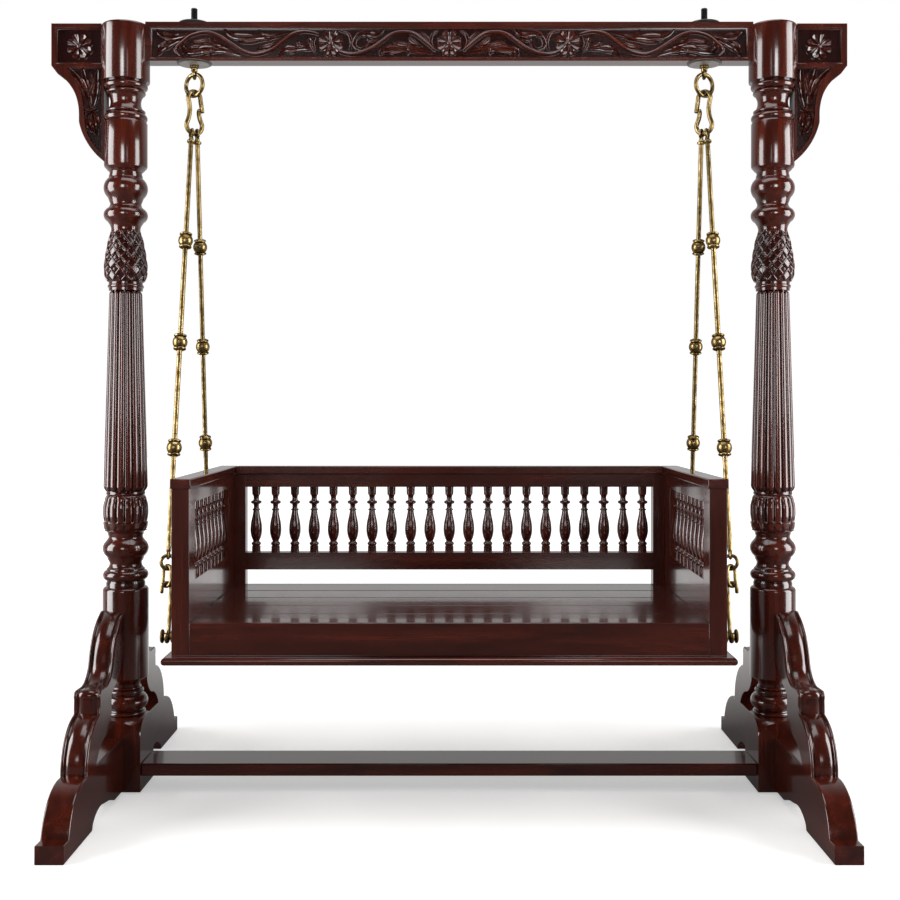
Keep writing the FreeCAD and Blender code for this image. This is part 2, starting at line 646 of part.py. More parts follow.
for end in (-1, 1):
    # The front rod hangs on the outer side of the hook's foot, the rear one on its inner side.
    top = V(-hang_x, 0, hook_bottom_z + eye_rise - rod_eye_sag) - hook_way * (end * rod_eye_offset)
    stud_centre = V(-stud_neck_x, end * stud_y, stud_z)
    foot = stud_centre
    for _ in range(aim_rounds):
        down = (foot - top).normalize()
        across = (V(-1, 0, 0) - down * V(-1, 0, 0).dot(down)).normalize()
        outward = down.cross(across) * -1
        if outward.y * end < 0:
            outward = outward * -1
        hook_across = turned_way(across, outward, lower_hook_turn)
        foot = stud_centre + hook_across * lower_hook_radius - outward * bend_radius
    run = (foot - top).Length

    def along(distance):
        return top + down * distance

    hook_arc = run - lower_hook_rise
    link_bottom = hook_arc - lower_hook_radius + wire_step
    link_top = link_bottom - link_straight - 2 * link_radius
    ring_bottom = link_top + wire_step
    ring_centre = ring_bottom - lower_ring_radius
    foot_eye_slack = rod_foot_eye_radius - rod_foot_eye_wire - lower_wire_radius - link_gap
    foot_eye = ring_centre - lower_ring_radius - foot_eye_slack
    ring_across = turned_way(across, outward, lower_ring_turn)
    link_across = turned_way(across, outward, link_turn)

    top_eye_normal = (hook_way - down * hook_way.dot(down)).normalize()
    bar_end = foot_eye - rod_foot_eye_radius
    rod = Part.makeCylinder(rod_radius, bar_end - rod_eye_radius, along(rod_eye_radius), down)
    collar = Part.makeCylinder(rod_collar_radius, rod_collar_height,
                               along(rod_collar_drop - rod_collar_height / 2), down)
    rod = rod.fuse([wire_ring(top, rod_eye_radius, rod_eye_wire, top_eye_normal), collar,
                    wire_ring(along(foot_eye), rod_foot_eye_radius, rod_foot_eye_wire, ring_across)])
    lower["rods"].append(rod)

    for index in range(bead_count):
        bead = turned(-bead_height / 2, bead_radius, [(bead_height, bead_shares)])
        bore = Part.makeCylinder(rod_radius + dowel_gap, bead_height * 2, V(0, 0, -bead_height))
        bead = bead.cut(bore)
        bead.Placement = frame_place(along(first_bead_drop + index * bead_pitch), across, down)
        lower["beads"].append(bead)

    lower["rings"].append(wire_ring(along(ring_centre), lower_ring_radius, lower_wire_radius,
                                    ring_across.cross(down)))

    link = Part.makeTorus(link_radius, lower_wire_radius)
    half_straight = link_straight / 2
    link_reach = link_radius + 2 * lower_wire_radius
    upper_half = link.cut(box(-link_reach, link_reach, -link_reach, 0, -link_reach, link_reach))
    lower_half = link.cut(box(-link_reach, link_reach, 0, link_reach, -link_reach, link_reach))
    upper_half.translate(V(0, half_straight, 0))
    lower_half.translate(V(0, -half_straight, 0))
    sides = [Part.makeCylinder(lower_wire_radius, link_straight, V(x, -half_straight, 0), V(0, 1, 0))
             for x in (-link_radius, link_radius)]
    link = upper_half.fuse([lower_half] + sides).removeSplitter()
    link.rotate(V(0, 0, 0), V(1, 0, 0), 90)
    link.Placement = frame_place(along((link_top + link_bottom) / 2), link_across, down).multiply(
        link.Placement)
    lower["links"].append(link)

    crown = along(hook_arc)
    shank_top = crown - hook_across * lower_hook_radius
    shank_foot = shank_top + down * lower_hook_rise
    tip_top = crown + hook_across * lower_hook_radius
    toe_foot = shank_foot + outward * (2 * bend_radius)
    bend_low = shank_foot + outward * bend_radius + down * bend_radius
    hook = rod_along([
        Part.makeLine(tip_top + down * lower_hook_tip, tip_top),
        Part.Arc(tip_top, crown - down * lower_hook_radius, shank_top).toShape(),
        Part.makeLine(shank_top, shank_foot),
        Part.Arc(shank_foot, bend_low, toe_foot).toShape(),
        Part.makeLine(toe_foot, toe_foot - down * lower_hook_toe)], lower_wire_radius)
    lower["hooks"].append(hook)

save_pair("front_rod", lower["rods"][0])
save_pair("rear_rod", lower["rods"][1])
save_pair("rod_beads", lower["beads"])
save_pair("lower_rings", lower["rings"])
save_pair("lower_links", lower["links"])
save_pair("lower_hooks", lower["hooks"])

# Hook studs

stud_parts = []
for end in (-1, 1):
    centre = V(-seat_half_width, end * stud_y, stud_z)
    outwards = V(-1, 0, 0)
    head_start = stud_flange_thickness + stud_neck_length
    hook_stud = Part.makeCylinder(stud_head_radius, stud_flange_thickness, centre, outwards)
    hook_stud = hook_stud.fuse([
        Part.makeCylinder(stud_neck_radius, head_start, centre, outwards),
        Part.makeCylinder(stud_head_radius, stud_head_thickness, centre + outwards * head_start, outwards),
        Part.makeCylinder(stud_tang_radius, stud_tang_length, centre, V(1, 0, 0))])
    stud_parts.append(hook_stud.removeSplitter())
tang_holes = Part.makeCompound([
    Part.makeCylinder(stud_tang_radius + dowel_gap, stud_tang_length + joint_gap,
                      V(-seat_half_width, end * stud_y, stud_z), V(1, 0, 0)) for end in (-1, 1)])
save("hook_studs", stud_parts + [mirrored(part) for part in stud_parts])

# Seat frame

inner_x = seat_half_width - side_thickness
front_y = -seat_half_depth
rail_inner_y = seat_half_depth - rail_thickness
front_post_y = front_y + front_post_depth
rear_post_y = seat_half_depth - rear_post_depth
cap_bottom = arm_top - cap_thickness
side_tenon = side_thickness * seat_tenon_share / 2
rail_tenon = rail_thickness * seat_tenon_share / 2
side_middle_x = seat_half_width - side_thickness / 2
back_middle_y = seat_half_depth - rail_thickness / 2


def tenon_span(z0, z1, spare):
    """Lowest and highest edge of a tenon on a rail between two heights."""
    half = (z1 - z0) * tenon_height_share / 2
    middle = (z0 + z1) / 2
    return middle - half - spare, middle + half + spare


def cross_tenon(x0, x1, middle_y, z0, z1, spare):
    low, high = tenon_span(z0, z1, spare)
    return box(x0 - spare, x1 + spare, middle_y - rail_tenon - spare, middle_y + rail_tenon + spare,
               low, high)


def side_tenon_bar(y0, y1, z0, z1, spare):
    low, high = tenon_span(z0, z1, spare)
    return box(-side_middle_x - side_tenon - spare, -side_middle_x + side_tenon + spare,
               y0 - spare, y1 + spare, low, high)


cross_reach = inner_x + seat_tenon_length
side_front = front_post_y - seat_tenon_length
side_rear = rear_post_y + seat_tenon_length
plank_seat = deck_top - plank_thickness
front_rail = box(-inner_x, inner_x, front_y, -rail_inner_y, rail_bottom, deck_top)
front_rail = front_rail.cut(
    box(-inner_x, inner_x, front_y + plank_lip, -rail_inner_y, plank_seat, deck_top))
rail_middle_y = front_y + rail_thickness / 2
front_rail = front_rail.fuse(
    cross_tenon(-cross_reach, cross_reach, rail_middle_y, rail_bottom, plank_seat, 0)).removeSplitter()
save("seat_front_rail", front_rail)
save("seat_rear_rail", front_to_rear(front_rail))


def side_rail(z0, z1):
    rail = box(-seat_half_width, -inner_x, front_post_y, rear_post_y, z0, z1)
    return rail.fuse(side_tenon_bar(side_front, side_rear, z0, z1, 0)).removeSplitter()


seat_side_rail = side_rail(rail_bottom, deck_top)
save("seat_left_rail", seat_side_rail)
save("seat_right_rail", mirrored(seat_side_rail))

# Mitred moulding under the rails

moulding_bottom = rail_bottom - moulding_height


def moulding(along_x):
    """One mitred strip with a rounded nose, on the front or on the left."""
    out_x = seat_half_width + moulding_projection
    out_y = seat_half_depth + moulding_projection
    in_x, in_y = inner_x, rail_inner_y
    if along_x:
        corners = [V(-out_x, -out_y, 0), V(out_x, -out_y, 0), V(in_x, -in_y, 0), V(-in_x, -in_y, 0)]
    else:
        corners = [V(-out_x, out_y, 0), V(-out_x, -out_y, 0), V(-in_x, -in_y, 0), V(-in_x, in_y, 0)]
    strip = Part.Face(Part.makePolygon(corners + corners[:1])).extrude(V(0, 0, moulding_height))
    strip.translate(V(0, 0, moulding_bottom))
    nose = []
    for edge in strip.Edges:
        middle = edge.CenterOfMass
        on_nose = abs(middle.y + out_y) < joint_gap if along_x else abs(middle.x + out_x) < joint_gap
        if on_nose and edge.BoundBox.ZLength < joint_gap:
            nose.append(edge)
    return strip.makeFillet(moulding_height * moulding_round_share, nose)


front_moulding = moulding(True)
left_moulding = moulding(False)
save("base_mouldings", [
    front_moulding, front_to_rear(front_moulding), left_moulding, mirrored(left_moulding)])

# Corner posts

front_post = box(-seat_half_width, -inner_x, front_y, front_post_y, rail_bottom, cap_bottom)
rear_post = box(-seat_half_width, -inner_x, rear_post_y, seat_half_depth, rail_bottom, cap_bottom)
post_mortises = [tang_holes]
for low, high in ((rail_bottom, deck_top), (deck_top, opening_bottom), (opening_top, cap_bottom)):
    post_mortises.append(side_tenon_bar(side_front, side_rear, low, high, joint_gap))
for middle_y in (rail_middle_y, -rail_middle_y):
    post_mortises.append(
        cross_tenon(-cross_reach, cross_reach, middle_y, rail_bottom, plank_seat, joint_gap))
post_mortises = Part.makeCompound(post_mortises)
front_post = front_post.cut(post_mortises)
rear_post = rear_post.cut(post_mortises)
save("front_left_seat_post", front_post)
save("front_right_seat_post", mirrored(front_post))
save("rear_left_seat_post", rear_post)
save("rear_right_seat_post", mirrored(rear_post))

# Deck

plank_run = 2 * (seat_half_depth - plank_lip)
plank_width = (plank_run - (plank_count - 1) * plank_gap) / plank_count
planks = []
for index in range(plank_count):
    start_y = -seat_half_depth + plank_lip + index * (plank_width + plank_gap)
    planks.append(box(-inner_x, inner_x, start_y, start_y + plank_width, plank_seat, deck_top))
save("deck_planks", planks)
battens = []
batten_reach = inner_x - batten_width / 2
for index in range(batten_count):
    middle_x = -batten_reach + index * 2 * batten_reach / (batten_count - 1)
    battens.append(box(middle_x - batten_width / 2, middle_x + batten_width / 2,
                       -rail_inner_y, rail_inner_y, plank_seat - batten_height, plank_seat))
save("deck_battens", battens)


# Arms

def baluster(x, y):
    """A turned spindle between the rails, with a dowel at each end."""
    length = opening_top - opening_bottom
    spindle = turned(opening_bottom, baluster_radius, [(length, baluster_shares)])
    spindle = spindle.fuse(Part.makeCylinder(dowel_radius, length + 2 * dowel_length,
                                             V(0, 0, opening_bottom - dowel_length))).removeSplitter()
    spindle.translate(V(x, y, 0))
    return spindle


def dowel_sockets(places):
    reach = dowel_length + dowel_hole_spare
    return Part.makeCompound([
        Part.makeCylinder(dowel_radius + dowel_gap, opening_top - opening_bottom + 2 * reach,
                          V(x, y, opening_bottom - reach)) for x, y in places])


arm_opening = rear_post_y - front_post_y
arm_pitch = arm_opening / arm_baluster_count
arm_places = [(-side_middle_x, front_post_y + (index + 0.5) * arm_pitch)
              for index in range(arm_baluster_count)]
arm_sockets = dowel_sockets(arm_places)
save_pair("arm_top_rail", side_rail(opening_top, cap_bottom).cut(arm_sockets))
save_pair("arm_lower_rail", side_rail(deck_top, opening_bottom).cut(arm_sockets))
save_pair("arm_balusters", [baluster(x, y) for x, y in arm_places])
arm_cap = box(-seat_half_width - cap_overhang, -inner_x + cap_overhang, front_y - cap_overhang,
              seat_half_depth + cap_overhang, cap_bottom, arm_top)
save_pair("arm_cap", arm_cap)

# Back

stile_inner_x = inner_x - back_stile_width
back_reach = stile_inner_x + seat_tenon_length


def back_rail(z0, z1):
    rail = box(-stile_inner_x, stile_inner_x, rail_inner_y, seat_half_depth, z0, z1)
    return rail.fuse(cross_tenon(-back_reach, back_reach, back_middle_y, z0, z1, 0)).removeSplitter()


back_places = [((index - (back_baluster_count - 1) / 2) * baluster_pitch, back_middle_y)
               for index in range(back_baluster_count)]
back_sockets = dowel_sockets(back_places)
save("back_top_rail", back_rail(opening_top, cap_bottom).cut(back_sockets))
save("back_lower_rail", back_rail(back_rail_bottom, opening_bottom).cut(back_sockets))
save("back_balusters", [baluster(x, y) for x, y in back_places])
back_stile = box(-inner_x, -stile_inner_x, rail_inner_y, seat_half_depth, deck_top, cap_bottom)
back_stile = back_stile.cut(Part.makeCompound([
    cross_tenon(-back_reach, back_reach, back_middle_y, low, high, joint_gap)
    for low, high in ((opening_top, cap_bottom), (back_rail_bottom, opening_bottom))]))
save("back_stiles", [back_stile, mirrored(back_stile)])
save("back_cap", box(-inner_x + cap_overhang, inner_x - cap_overhang, rail_inner_y - cap_overhang,
                     seat_half_depth + cap_overhang, cap_bottom, arm_top))
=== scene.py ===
import math
import bpy
from mathutils import Matrix, Vector


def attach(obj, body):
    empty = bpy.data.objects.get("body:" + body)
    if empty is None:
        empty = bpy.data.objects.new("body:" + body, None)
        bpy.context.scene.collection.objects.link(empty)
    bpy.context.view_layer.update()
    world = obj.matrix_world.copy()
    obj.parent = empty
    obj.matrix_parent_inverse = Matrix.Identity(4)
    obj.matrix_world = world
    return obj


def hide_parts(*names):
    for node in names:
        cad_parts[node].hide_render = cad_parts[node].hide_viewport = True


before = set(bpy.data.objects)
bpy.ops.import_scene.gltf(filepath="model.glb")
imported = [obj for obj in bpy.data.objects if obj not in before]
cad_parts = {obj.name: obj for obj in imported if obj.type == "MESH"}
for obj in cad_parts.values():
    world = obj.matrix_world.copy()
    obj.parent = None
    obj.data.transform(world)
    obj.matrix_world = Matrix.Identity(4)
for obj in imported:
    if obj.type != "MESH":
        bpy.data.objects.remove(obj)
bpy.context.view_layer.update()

# Posts. Each is one mahogany blank, turned on a lathe above a foot that stays square,
# then carved by hand: a gadrooned cup, a reeded shaft, and a pineapple of pointed scales.
# They are stained a dark red-brown and polished to a gloss.
POST_X = 0.874
DRUM = 0.0602
FOOT_WIDE, FOOT_DEEP = 0.114, 0.143
FOOT_LOW, FOOT_HIGH, POMMEL_DROP = 0.005, 0.196, 0.046
BAND_LOW, CUP_LOW, SHAFT_LOW, SHAFT_HIGH = 0.691, 0.713, 0.786, 1.337
PINEAPPLE_LOW, PINEAPPLE_HIGH = 1.359, 1.495
REEDS, SCALES, SCALE_ROWS = 16, 12, 4.25
REED_DEPTH, LOBE_DEPTH, SCALLOP_DEPTH, SCALE_DEPTH = 0.0062, 0.0060, 0.0026, 0.0046
TURNING_STEPS = 192

# Height and then (rise share, middle radius share or 0 for a straight run, end radius share).
TURNINGS = [
    (0.102, [(0, 0, 0.80), (0.12, 0.865, 0.78), (0.02, 0, 0.765), (0.41, 0.975, 0.73),
             (0.02, 0, 0.73), (0.10, 0.79, 0.68), (0, 0, 0.615), (0.085, 0.68, 0.615),
             (0.13, 0.635, 0.74), (0.115, 0, 1.0)]),
    (0.242, [(0.96, 0, 1.0), (0.04, 0.975, 0.854)]),
    (0.151, [(0.066, 0, 0.854), (0.046, 0, 0.806), (0.185, 0.995, 0.84), (0.026, 0, 0.83),
             (0.159, 0.705, 0.78), (0.053, 0, 0.814), (0.278, 1.005, 0.855), (0.04, 0, 0.78),
             (0.073, 0.752, 0.78), (0.073, 0.80, 0.90)]),
    (0.095, [(0, 0, 0.925), (0.232, 0, 0.985), (0, 0, 0.93), (0.358, 0.985, 0.99),
             (0.274, 0.975, 0.914), (0.136, 0.895, 0.822)]),
    (0.551, [(0.044, 0.92, 0.97), (0.956, 0, 0.718)]),
    (0.022, [(0, 0, 0.74), (0.3, 0, 0.74), (0.45, 0.79, 0.74), (0.25, 0, 0.74)]),
    (0.136, [(0.03, 0, 0.84), (0.27, 0.945, 0.96), (0.35, 0.92, 0.855), (0.35, 0.78, 0.66)]),
    (0.174, [(0.023, 0, 0.64), (0.092, 0.645, 0.70), (0.046, 0, 0.79), (0.205, 0.965, 0.79),
             (0.077, 0.70, 0.68), (0.046, 0, 0.73), (0.046, 0, 0.78), (0.282, 0.965, 0.805),
             (0.046, 0.745, 0.74), (0.046, 0, 0.70), (0.046, 0.725, 0.80), (0.045, 0, 0.90)]),
    (0.124, [(0, 0, 0.92), (0.04, 0, 0.947), (0.92, 0, 0.947), (0.04, 0, 0.90)]),
    (0.107, [(0, 0, 0.86), (0.187, 0.95, 0.86), (0.028, 0, 0.80), (0.075, 0.86, 0.78),
             (0.393, 0.665, 0.80), (0.093, 0.87, 0.80), (0.028, 0, 0.86), (0.159, 0.965, 0.90),
             (0.037, 0, 0.90)]),
    (0.152, [(0, 0, 1.04), (0.015, 0, 1.055), (0.955, 0, 1.055), (0.03, 1.044, 1.01)])]


def let_go():
    """Leave edit mode and deselect everything."""
    if bpy.context.object and bpy.context.object.mode != "OBJECT":
        bpy.ops.object.mode_set(mode="OBJECT")
    bpy.ops.object.select_all(action="DESELECT")


def hold(*pieces):
    """Select these pieces only, the first one active."""
    let_go()
    for piece in pieces:
        piece.select_set(True)
    bpy.context.view_layer.objects.active = pieces[0]


def name_piece(piece, name):
    piece.name = piece.data.name = name
    return piece


def arc(start, middle, end, steps):
    """Points along the circle through three points of a plane, without the start."""
    (ax, ay), (bx, by), (cx, cy) = start, middle, end
    turn = 2 * (ax * (by - cy) + bx * (cy - ay) + cx * (ay - by))
    if abs(turn) < 1e-12:
        return [end]
    a, b, c = ax * ax + ay * ay, bx * bx + by * by, cx * cx + cy * cy
    x = (a * (by - cy) + b * (cy - ay) + c * (ay - by)) / turn
    y = (a * (cx - bx) + b * (ax - cx) + c * (bx - ax)) / turn
    radius = math.hypot(ax - x, ay - y)
    first = math.atan2(ay - y, ax - x)
    sweep = (math.atan2(cy - y, cx - x) - first) % math.tau
    if (math.atan2(by - y, bx - x) - first) % math.tau > sweep:
        sweep -= math.tau
    return [(x + radius * math.cos(first + sweep * step / steps),
             y + radius * math.sin(first + sweep * step / steps)) for step in range(1, steps + 1)]


def lathe_outline(base, radius, sections, arc_steps=7):
    """(radius, height) points up a turning, from sections of (height, shares)."""
    points = []
    height, last = base, 0.0
    for tall, shares in sections:
        whole = sum(share[0] for share in shares)
        for rise, middle, end in shares:
            top, end_radius = height + tall * rise / whole, radius * end
            if middle:
                points += arc((last, height), (radius * middle, (height + top) / 2),
                              (end_radius, top), arc_steps)
            else:
                points.append((end_radius, top))
            height, last = top, end_radius
    return points


def draw_line(name, points):
    """A new piece that is one line of edges: a single point, extruded from place to place."""
    let_go()
    bpy.ops.mesh.primitive_plane_add(size=0.01)
    piece = name_piece(bpy.context.object, name)
    bpy.ops.object.mode_set(mode="EDIT")
    bpy.ops.mesh.select_mode(type="VERT")
    bpy.ops.mesh.select_all(action="SELECT")
    bpy.ops.mesh.merge(type="CENTER")
    bpy.ops.mesh.select_all(action="SELECT")
    bpy.ops.transform.translate(value=points[0])
    for last, point in zip(points, points[1:]):
        bpy.ops.mesh.extrude_region_move(
            TRANSFORM_OT_translate={"value": Vector(point) - Vector(last)})
    bpy.ops.mesh.select_all(action="SELECT")
    return piece


def close_up(threshold=0.00002):
    """Merge doubles and turn the faces outwards, in edit mode."""
    bpy.ops.mesh.select_all(action="SELECT")
    bpy.ops.mesh.remove_doubles(threshold=threshold)
    bpy.ops.mesh.normals_make_consistent(inside=False)
    bpy.ops.object.mode_set(mode="OBJECT")


def smooth(piece, degrees=34):
    """Shade rounded forms smooth, and wide planed faces flat."""
    hold(piece)
    bpy.ops.object.shade_smooth_by_angle(angle=math.radians(degrees))
    places = [vertex.co for vertex in piece.data.vertices]
    for face in piece.data.polygons:
        rim = sum((places[a] - places[b]).length for a, b in face.edge_keys)
        if 2 * face.area > 0.006 * rim:
            face.use_smooth = False
    return piece


def turn_on_lathe(name, outline, steps):
    """Spin an outline of (radius, height) round the upright axis, closed at both ends."""
    ends = [(0.0, outline[0][1])] + list(outline) + [(0.0, outline[-1][1])]
    piece = draw_line(name, [(radius, 0, height) for radius, height in ends])
    bpy.ops.mesh.spin(steps=steps, angle=math.tau, center=(0, 0, 0), axis=(0, 0, 1))
    close_up()
    return smooth(piece)


def soften(piece, width, segments=3, degrees=30):
    """Ease the sharp edges with a bevel and apply it."""
    hold(piece)
    bevel = piece.modifiers.new("eased edges", "BEVEL")
    bevel.width, bevel.segments, bevel.limit_method = width, segments, "ANGLE"
    bevel.angle_limit = math.radians(degrees)
    bpy.ops.object.modifier_apply(modifier=bevel.name)
    return smooth(piece)


def combine(piece, other, operation):
    """Cut, join or intersect one piece with another, which is then gone."""
    hold(piece)
    cut = piece.modifiers.new("cut", "BOOLEAN")
    cut.operation, cut.solver, cut.object = operation, "EXACT", other
    bpy.ops.object.modifier_apply(modifier=cut.name)
    bpy.data.objects.remove(other, do_unlink=True)
    return piece


def copy_of(piece, name):
    made = piece.copy()
    made.data = piece.data.copy()
    made.parent = None
    made.matrix_world = Matrix()
    bpy.context.collection.objects.link(made)
    return name_piece(made, name)


def mirror_of(piece, name, flip=(-1, 1, 1)):
    """A mirrored copy, with its faces turned to point outwards again."""
    made = copy_of(piece, name)
    made.data.transform(Matrix.Diagonal((*flip, 1)))
    if flip[0] * flip[1] * flip[2] < 0:
        made.data.flip_normals()
    return made


def block(name, x0, x1, y0, y1, z0, z1):
    """A squared board or block between two corners."""
    let_go()
    bpy.ops.mesh.primitive_cube_add(size=1, location=((x0 + x1) / 2, (y0 + y1) / 2, (z0 + z1) / 2))
    bpy.context.object.scale = (abs(x1 - x0), abs(y1 - y0), abs(z1 - z0))
    bpy.ops.object.transform_apply(location=True, rotation=True, scale=True)
    return name_piece(bpy.context.object, name)


def linear(colour):
    """Linear red, green, blue and alpha from a hex sRGB colour."""
    shares = [int(colour[at:at + 2], 16) / 255 for at in (1, 3, 5)]
    return [share / 12.92 if share <= 0.04045 else ((share + 0.055) / 1.055) ** 2.4
            for share in shares] + [1.0]


def feed(node, inputs):
    """Give a node's inputs their values, or link them to a socket or a node's first output."""
    for name, value in inputs.items():
        if isinstance(value, bpy.types.Node):
            value = value.outputs[0]
        if isinstance(value, bpy.types.NodeSocket):
            node.id_data.links.new(value, node.inputs[name])
        else:
            node.inputs[name].default_value = value


def add_node(tree, kind, settings=None, inputs=None):
    """One shader node with its settings and its inputs."""
    made = tree.nodes.new("ShaderNode" + kind)
    for name, value in (settings or {}).items():
        setattr(made, name, value)
    feed(made, inputs or {})
    return made


def set_stops(ramp, stops):
    """Colours of a ramp, from (place, hex) pairs in rising order."""
    elements = ramp.color_ramp.elements
    while len(elements) < len(stops):
        elements.new(0.5)
    for element, (place, colour) in zip(elements, stops):
        element.position, element.color = place, linear(colour)


def new_material(name):
    """A material, its node tree, its shader, and its places in the object's own axes."""
    material = bpy.data.materials.new(name)
    material.use_nodes = True
    tree = material.node_tree
    place = add_node(tree, "TexCoord").outputs["Object"]
    return material, tree, tree.nodes["Principled BSDF"], place


def mahogany(name, grain, paints_hollow_shade=False, gloss=0.16, coat=0.08):
    """French-polished mahogany: a dark red-brown stain, long straight grain along one axis,
    short open pores, and a clear glossy coat. On carved and turned work the hollows are painted
    darker, as painted shade, and faces marked as sunk ground are painted darker as well."""
    material, tree, shader, place = new_material(name)
    stretch = add_node(tree, "Mapping", None, {
        "Vector": place, "Scale": [1.0 if axis == grain else 11.0 for axis in "XYZ"]})
    figure = add_node(tree, "TexNoise", None, {
        "Vector": stretch, "Scale": 2.6, "Detail": 6.0, "Roughness": 0.62, "Distortion": 0.5})
    colours = add_node(tree, "ValToRGB", None, {"Fac": figure})
    set_stops(colours, [(0.30, "#2a0c06"), (0.50, "#3b1209"), (0.70, "#4e1a0e")])
    # Pores are 0.3 mm wide in the wood and drawn about 2 mm wide, the least that shows.
    narrow = add_node(tree, "Mapping", None, {
        "Vector": place, "Scale": [1.0 if axis == grain else 26.0 for axis in "XYZ"]})
    pores = add_node(tree, "TexNoise", None, {
        "Vector": narrow, "Scale": 17.0, "Detail": 3.0, "Roughness": 0.7})
    pore_shade = add_node(tree, "MapRange", None, {
        "Value": pores, "From Min": 0.36, "From Max": 0.62, "To Min": 0.74, "To Max": 1.0})
    grained = add_node(tree, "MixRGB", {"blend_type": "MULTIPLY"}, {
        "Fac": 1.0, "Color1": colours, "Color2": pore_shade})
    # Where the mesh is marked as carved ground, the wood is painted darker: painted shade in the
    # sunk recesses.
    ground = add_node(tree, "Attribute", {"attribute_name": "ground"})
    colour = add_node(tree, "MixRGB", {"blend_type": "MULTIPLY"}, {
        "Fac": ground.outputs["Fac"], "Color1": grained, "Color2": linear("#9a7c74")})
    if paints_hollow_shade:
        # Concave places, found by pointiness, are painted darker: painted shade in the hollows.
        shape = add_node(tree, "NewGeometry")
        hollow = add_node(tree, "MapRange", None, {
            "Value": shape.outputs["Pointiness"], "From Min": 0.43, "From Max": 0.50,
            "To Min": 0.30, "To Max": 1.0})
        colour = add_node(tree, "MixRGB", {"blend_type": "MULTIPLY"}, {
            "Fac": 1.0, "Color1": colour, "Color2": hollow})
    handled = add_node(tree, "TexNoise", None, {
        "Vector": place, "Scale": 9.0, "Detail": 3.0})
    roughness = add_node(tree, "MapRange", None, {
        "Value": handled, "From Min": 0.3, "From Max": 0.7,
        "To Min": gloss, "To Max": gloss + 0.05})
    grain_bump = add_node(tree, "Bump", None, {
        "Strength": 0.04 if paints_hollow_shade else 0.09, "Distance": 0.0006, "Height": pores})
    feed(shader, {"Base Color": colour, "Roughness": roughness, "Normal": grain_bump, "IOR": 1.5,
                  "Coat Weight": 0.5, "Coat Roughness": coat, "Coat IOR": 1.5})
    return material


def finish_piece(piece, material, body, *nodes, slot="mahogany"):
    """Give a finished piece its material, its body and the nodes it stands for. Its slot is not
    used.
    """
    piece.data.materials.clear()
    piece.data.materials.append(material)
    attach(piece, body)
    if nodes:
        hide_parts(*nodes)


turned_mahogany = mahogany("turned_and_carved_mahogany", "Z", True)
carved_mahogany = mahogany("carved_mahogany_grain_along_the_beam", "X", True)
upright_mahogany = mahogany("polished_mahogany_upright_grain", "Z")
crosswise_mahogany = mahogany("polished_mahogany_grain_along_the_beam", "X")
deep_mahogany = mahogany("polished_mahogany_grain_front_to_rear", "Y")
deck_mahogany = mahogany("hand_rubbed_mahogany_grain_along_the_seat", "X", gloss=0.13, coat=0.035)


def within(value, low, high):
    return min(max((value - low) / (high - low), 0.0), 1.0)


def carved_depth(angle, height):
    """How far the carver goes in below the turned surface at a place on the post."""
    turn = angle * REEDS / math.tau
    across = ((turn + 0.5) % 1) * 2 - 1
    if BAND_LOW < height < CUP_LOW - 0.0004:
        edge = BAND_LOW + 0.004 + 0.012 * (1 - math.sqrt(1 - min(across * across, 1)))
        return SCALLOP_DEPTH * (1 - within(height - edge, -0.0012, 0.0012))
    if CUP_LOW < height < SHAFT_LOW:
        ends = within(height, CUP_LOW, CUP_LOW + 0.006) * within(SHAFT_LOW - height, 0.0, 0.012)
        return LOBE_DEPTH * (1 - math.sqrt(1 - min(abs(across) ** 2.6, 1))) * ends
    if SHAFT_LOW < height < SHAFT_HIGH:
        foot = 1 - within(height, SHAFT_LOW + 0.010, SHAFT_LOW + 0.025)
        head = 1 - within(SHAFT_HIGH - height, 0.002, 0.010)
        wide = math.sqrt(max(0.0, 1 - max(foot, head) ** 2))
        reed = math.sqrt(max(0.0, wide * wide - (across * 0.985) ** 2))
        return REED_DEPTH * (1 - reed) * within(height, SHAFT_LOW + 0.004, SHAFT_LOW + 0.012)
    if PINEAPPLE_LOW < height < PINEAPPLE_HIGH:
        up = (height - PINEAPPLE_LOW) / (PINEAPPLE_HIGH - PINEAPPLE_LOW)
        turn = angle * SCALES / math.tau
        one, two = (SCALE_ROWS * up + turn) % 1, (SCALE_ROWS * up - turn) % 1
        rim = 1 - within(min(one, 1 - one, two, 1 - two), 0.02, 0.13)
        slope = 0.45 + 0.55 * (one + two) / 2
        return SCALE_DEPTH * slope * (1 - rim) * min(1.0, up / 0.03, (1 - up) / 0.03)
    return 0.0


stops = [BAND_LOW + 0.0021 * step for step in range(61)]
stops += [SHAFT_LOW + 0.05 * step for step in range(1, 11)]
stops += [SHAFT_HIGH - 0.0018 * step for step in range(8)]
stops += [PINEAPPLE_LOW + (PINEAPPLE_HIGH - PINEAPPLE_LOW) * step / 68 for step in range(1, 68)]
stops.sort()
turned = lathe_outline(FOOT_HIGH, DRUM, TURNINGS)
divided = [turned[0]]
for last, point in zip(turned, turned[1:]):
    for stop in stops:
        if last[1] + 0.0003 < stop < point[1] - 0.0003:
            share = (stop - last[1]) / (point[1] - last[1])
            divided.append((last[0] + (point[0] - last[0]) * share, stop))
    divided.append(point)
post = turn_on_lathe("left_post_turned", divided, TURNING_STEPS)
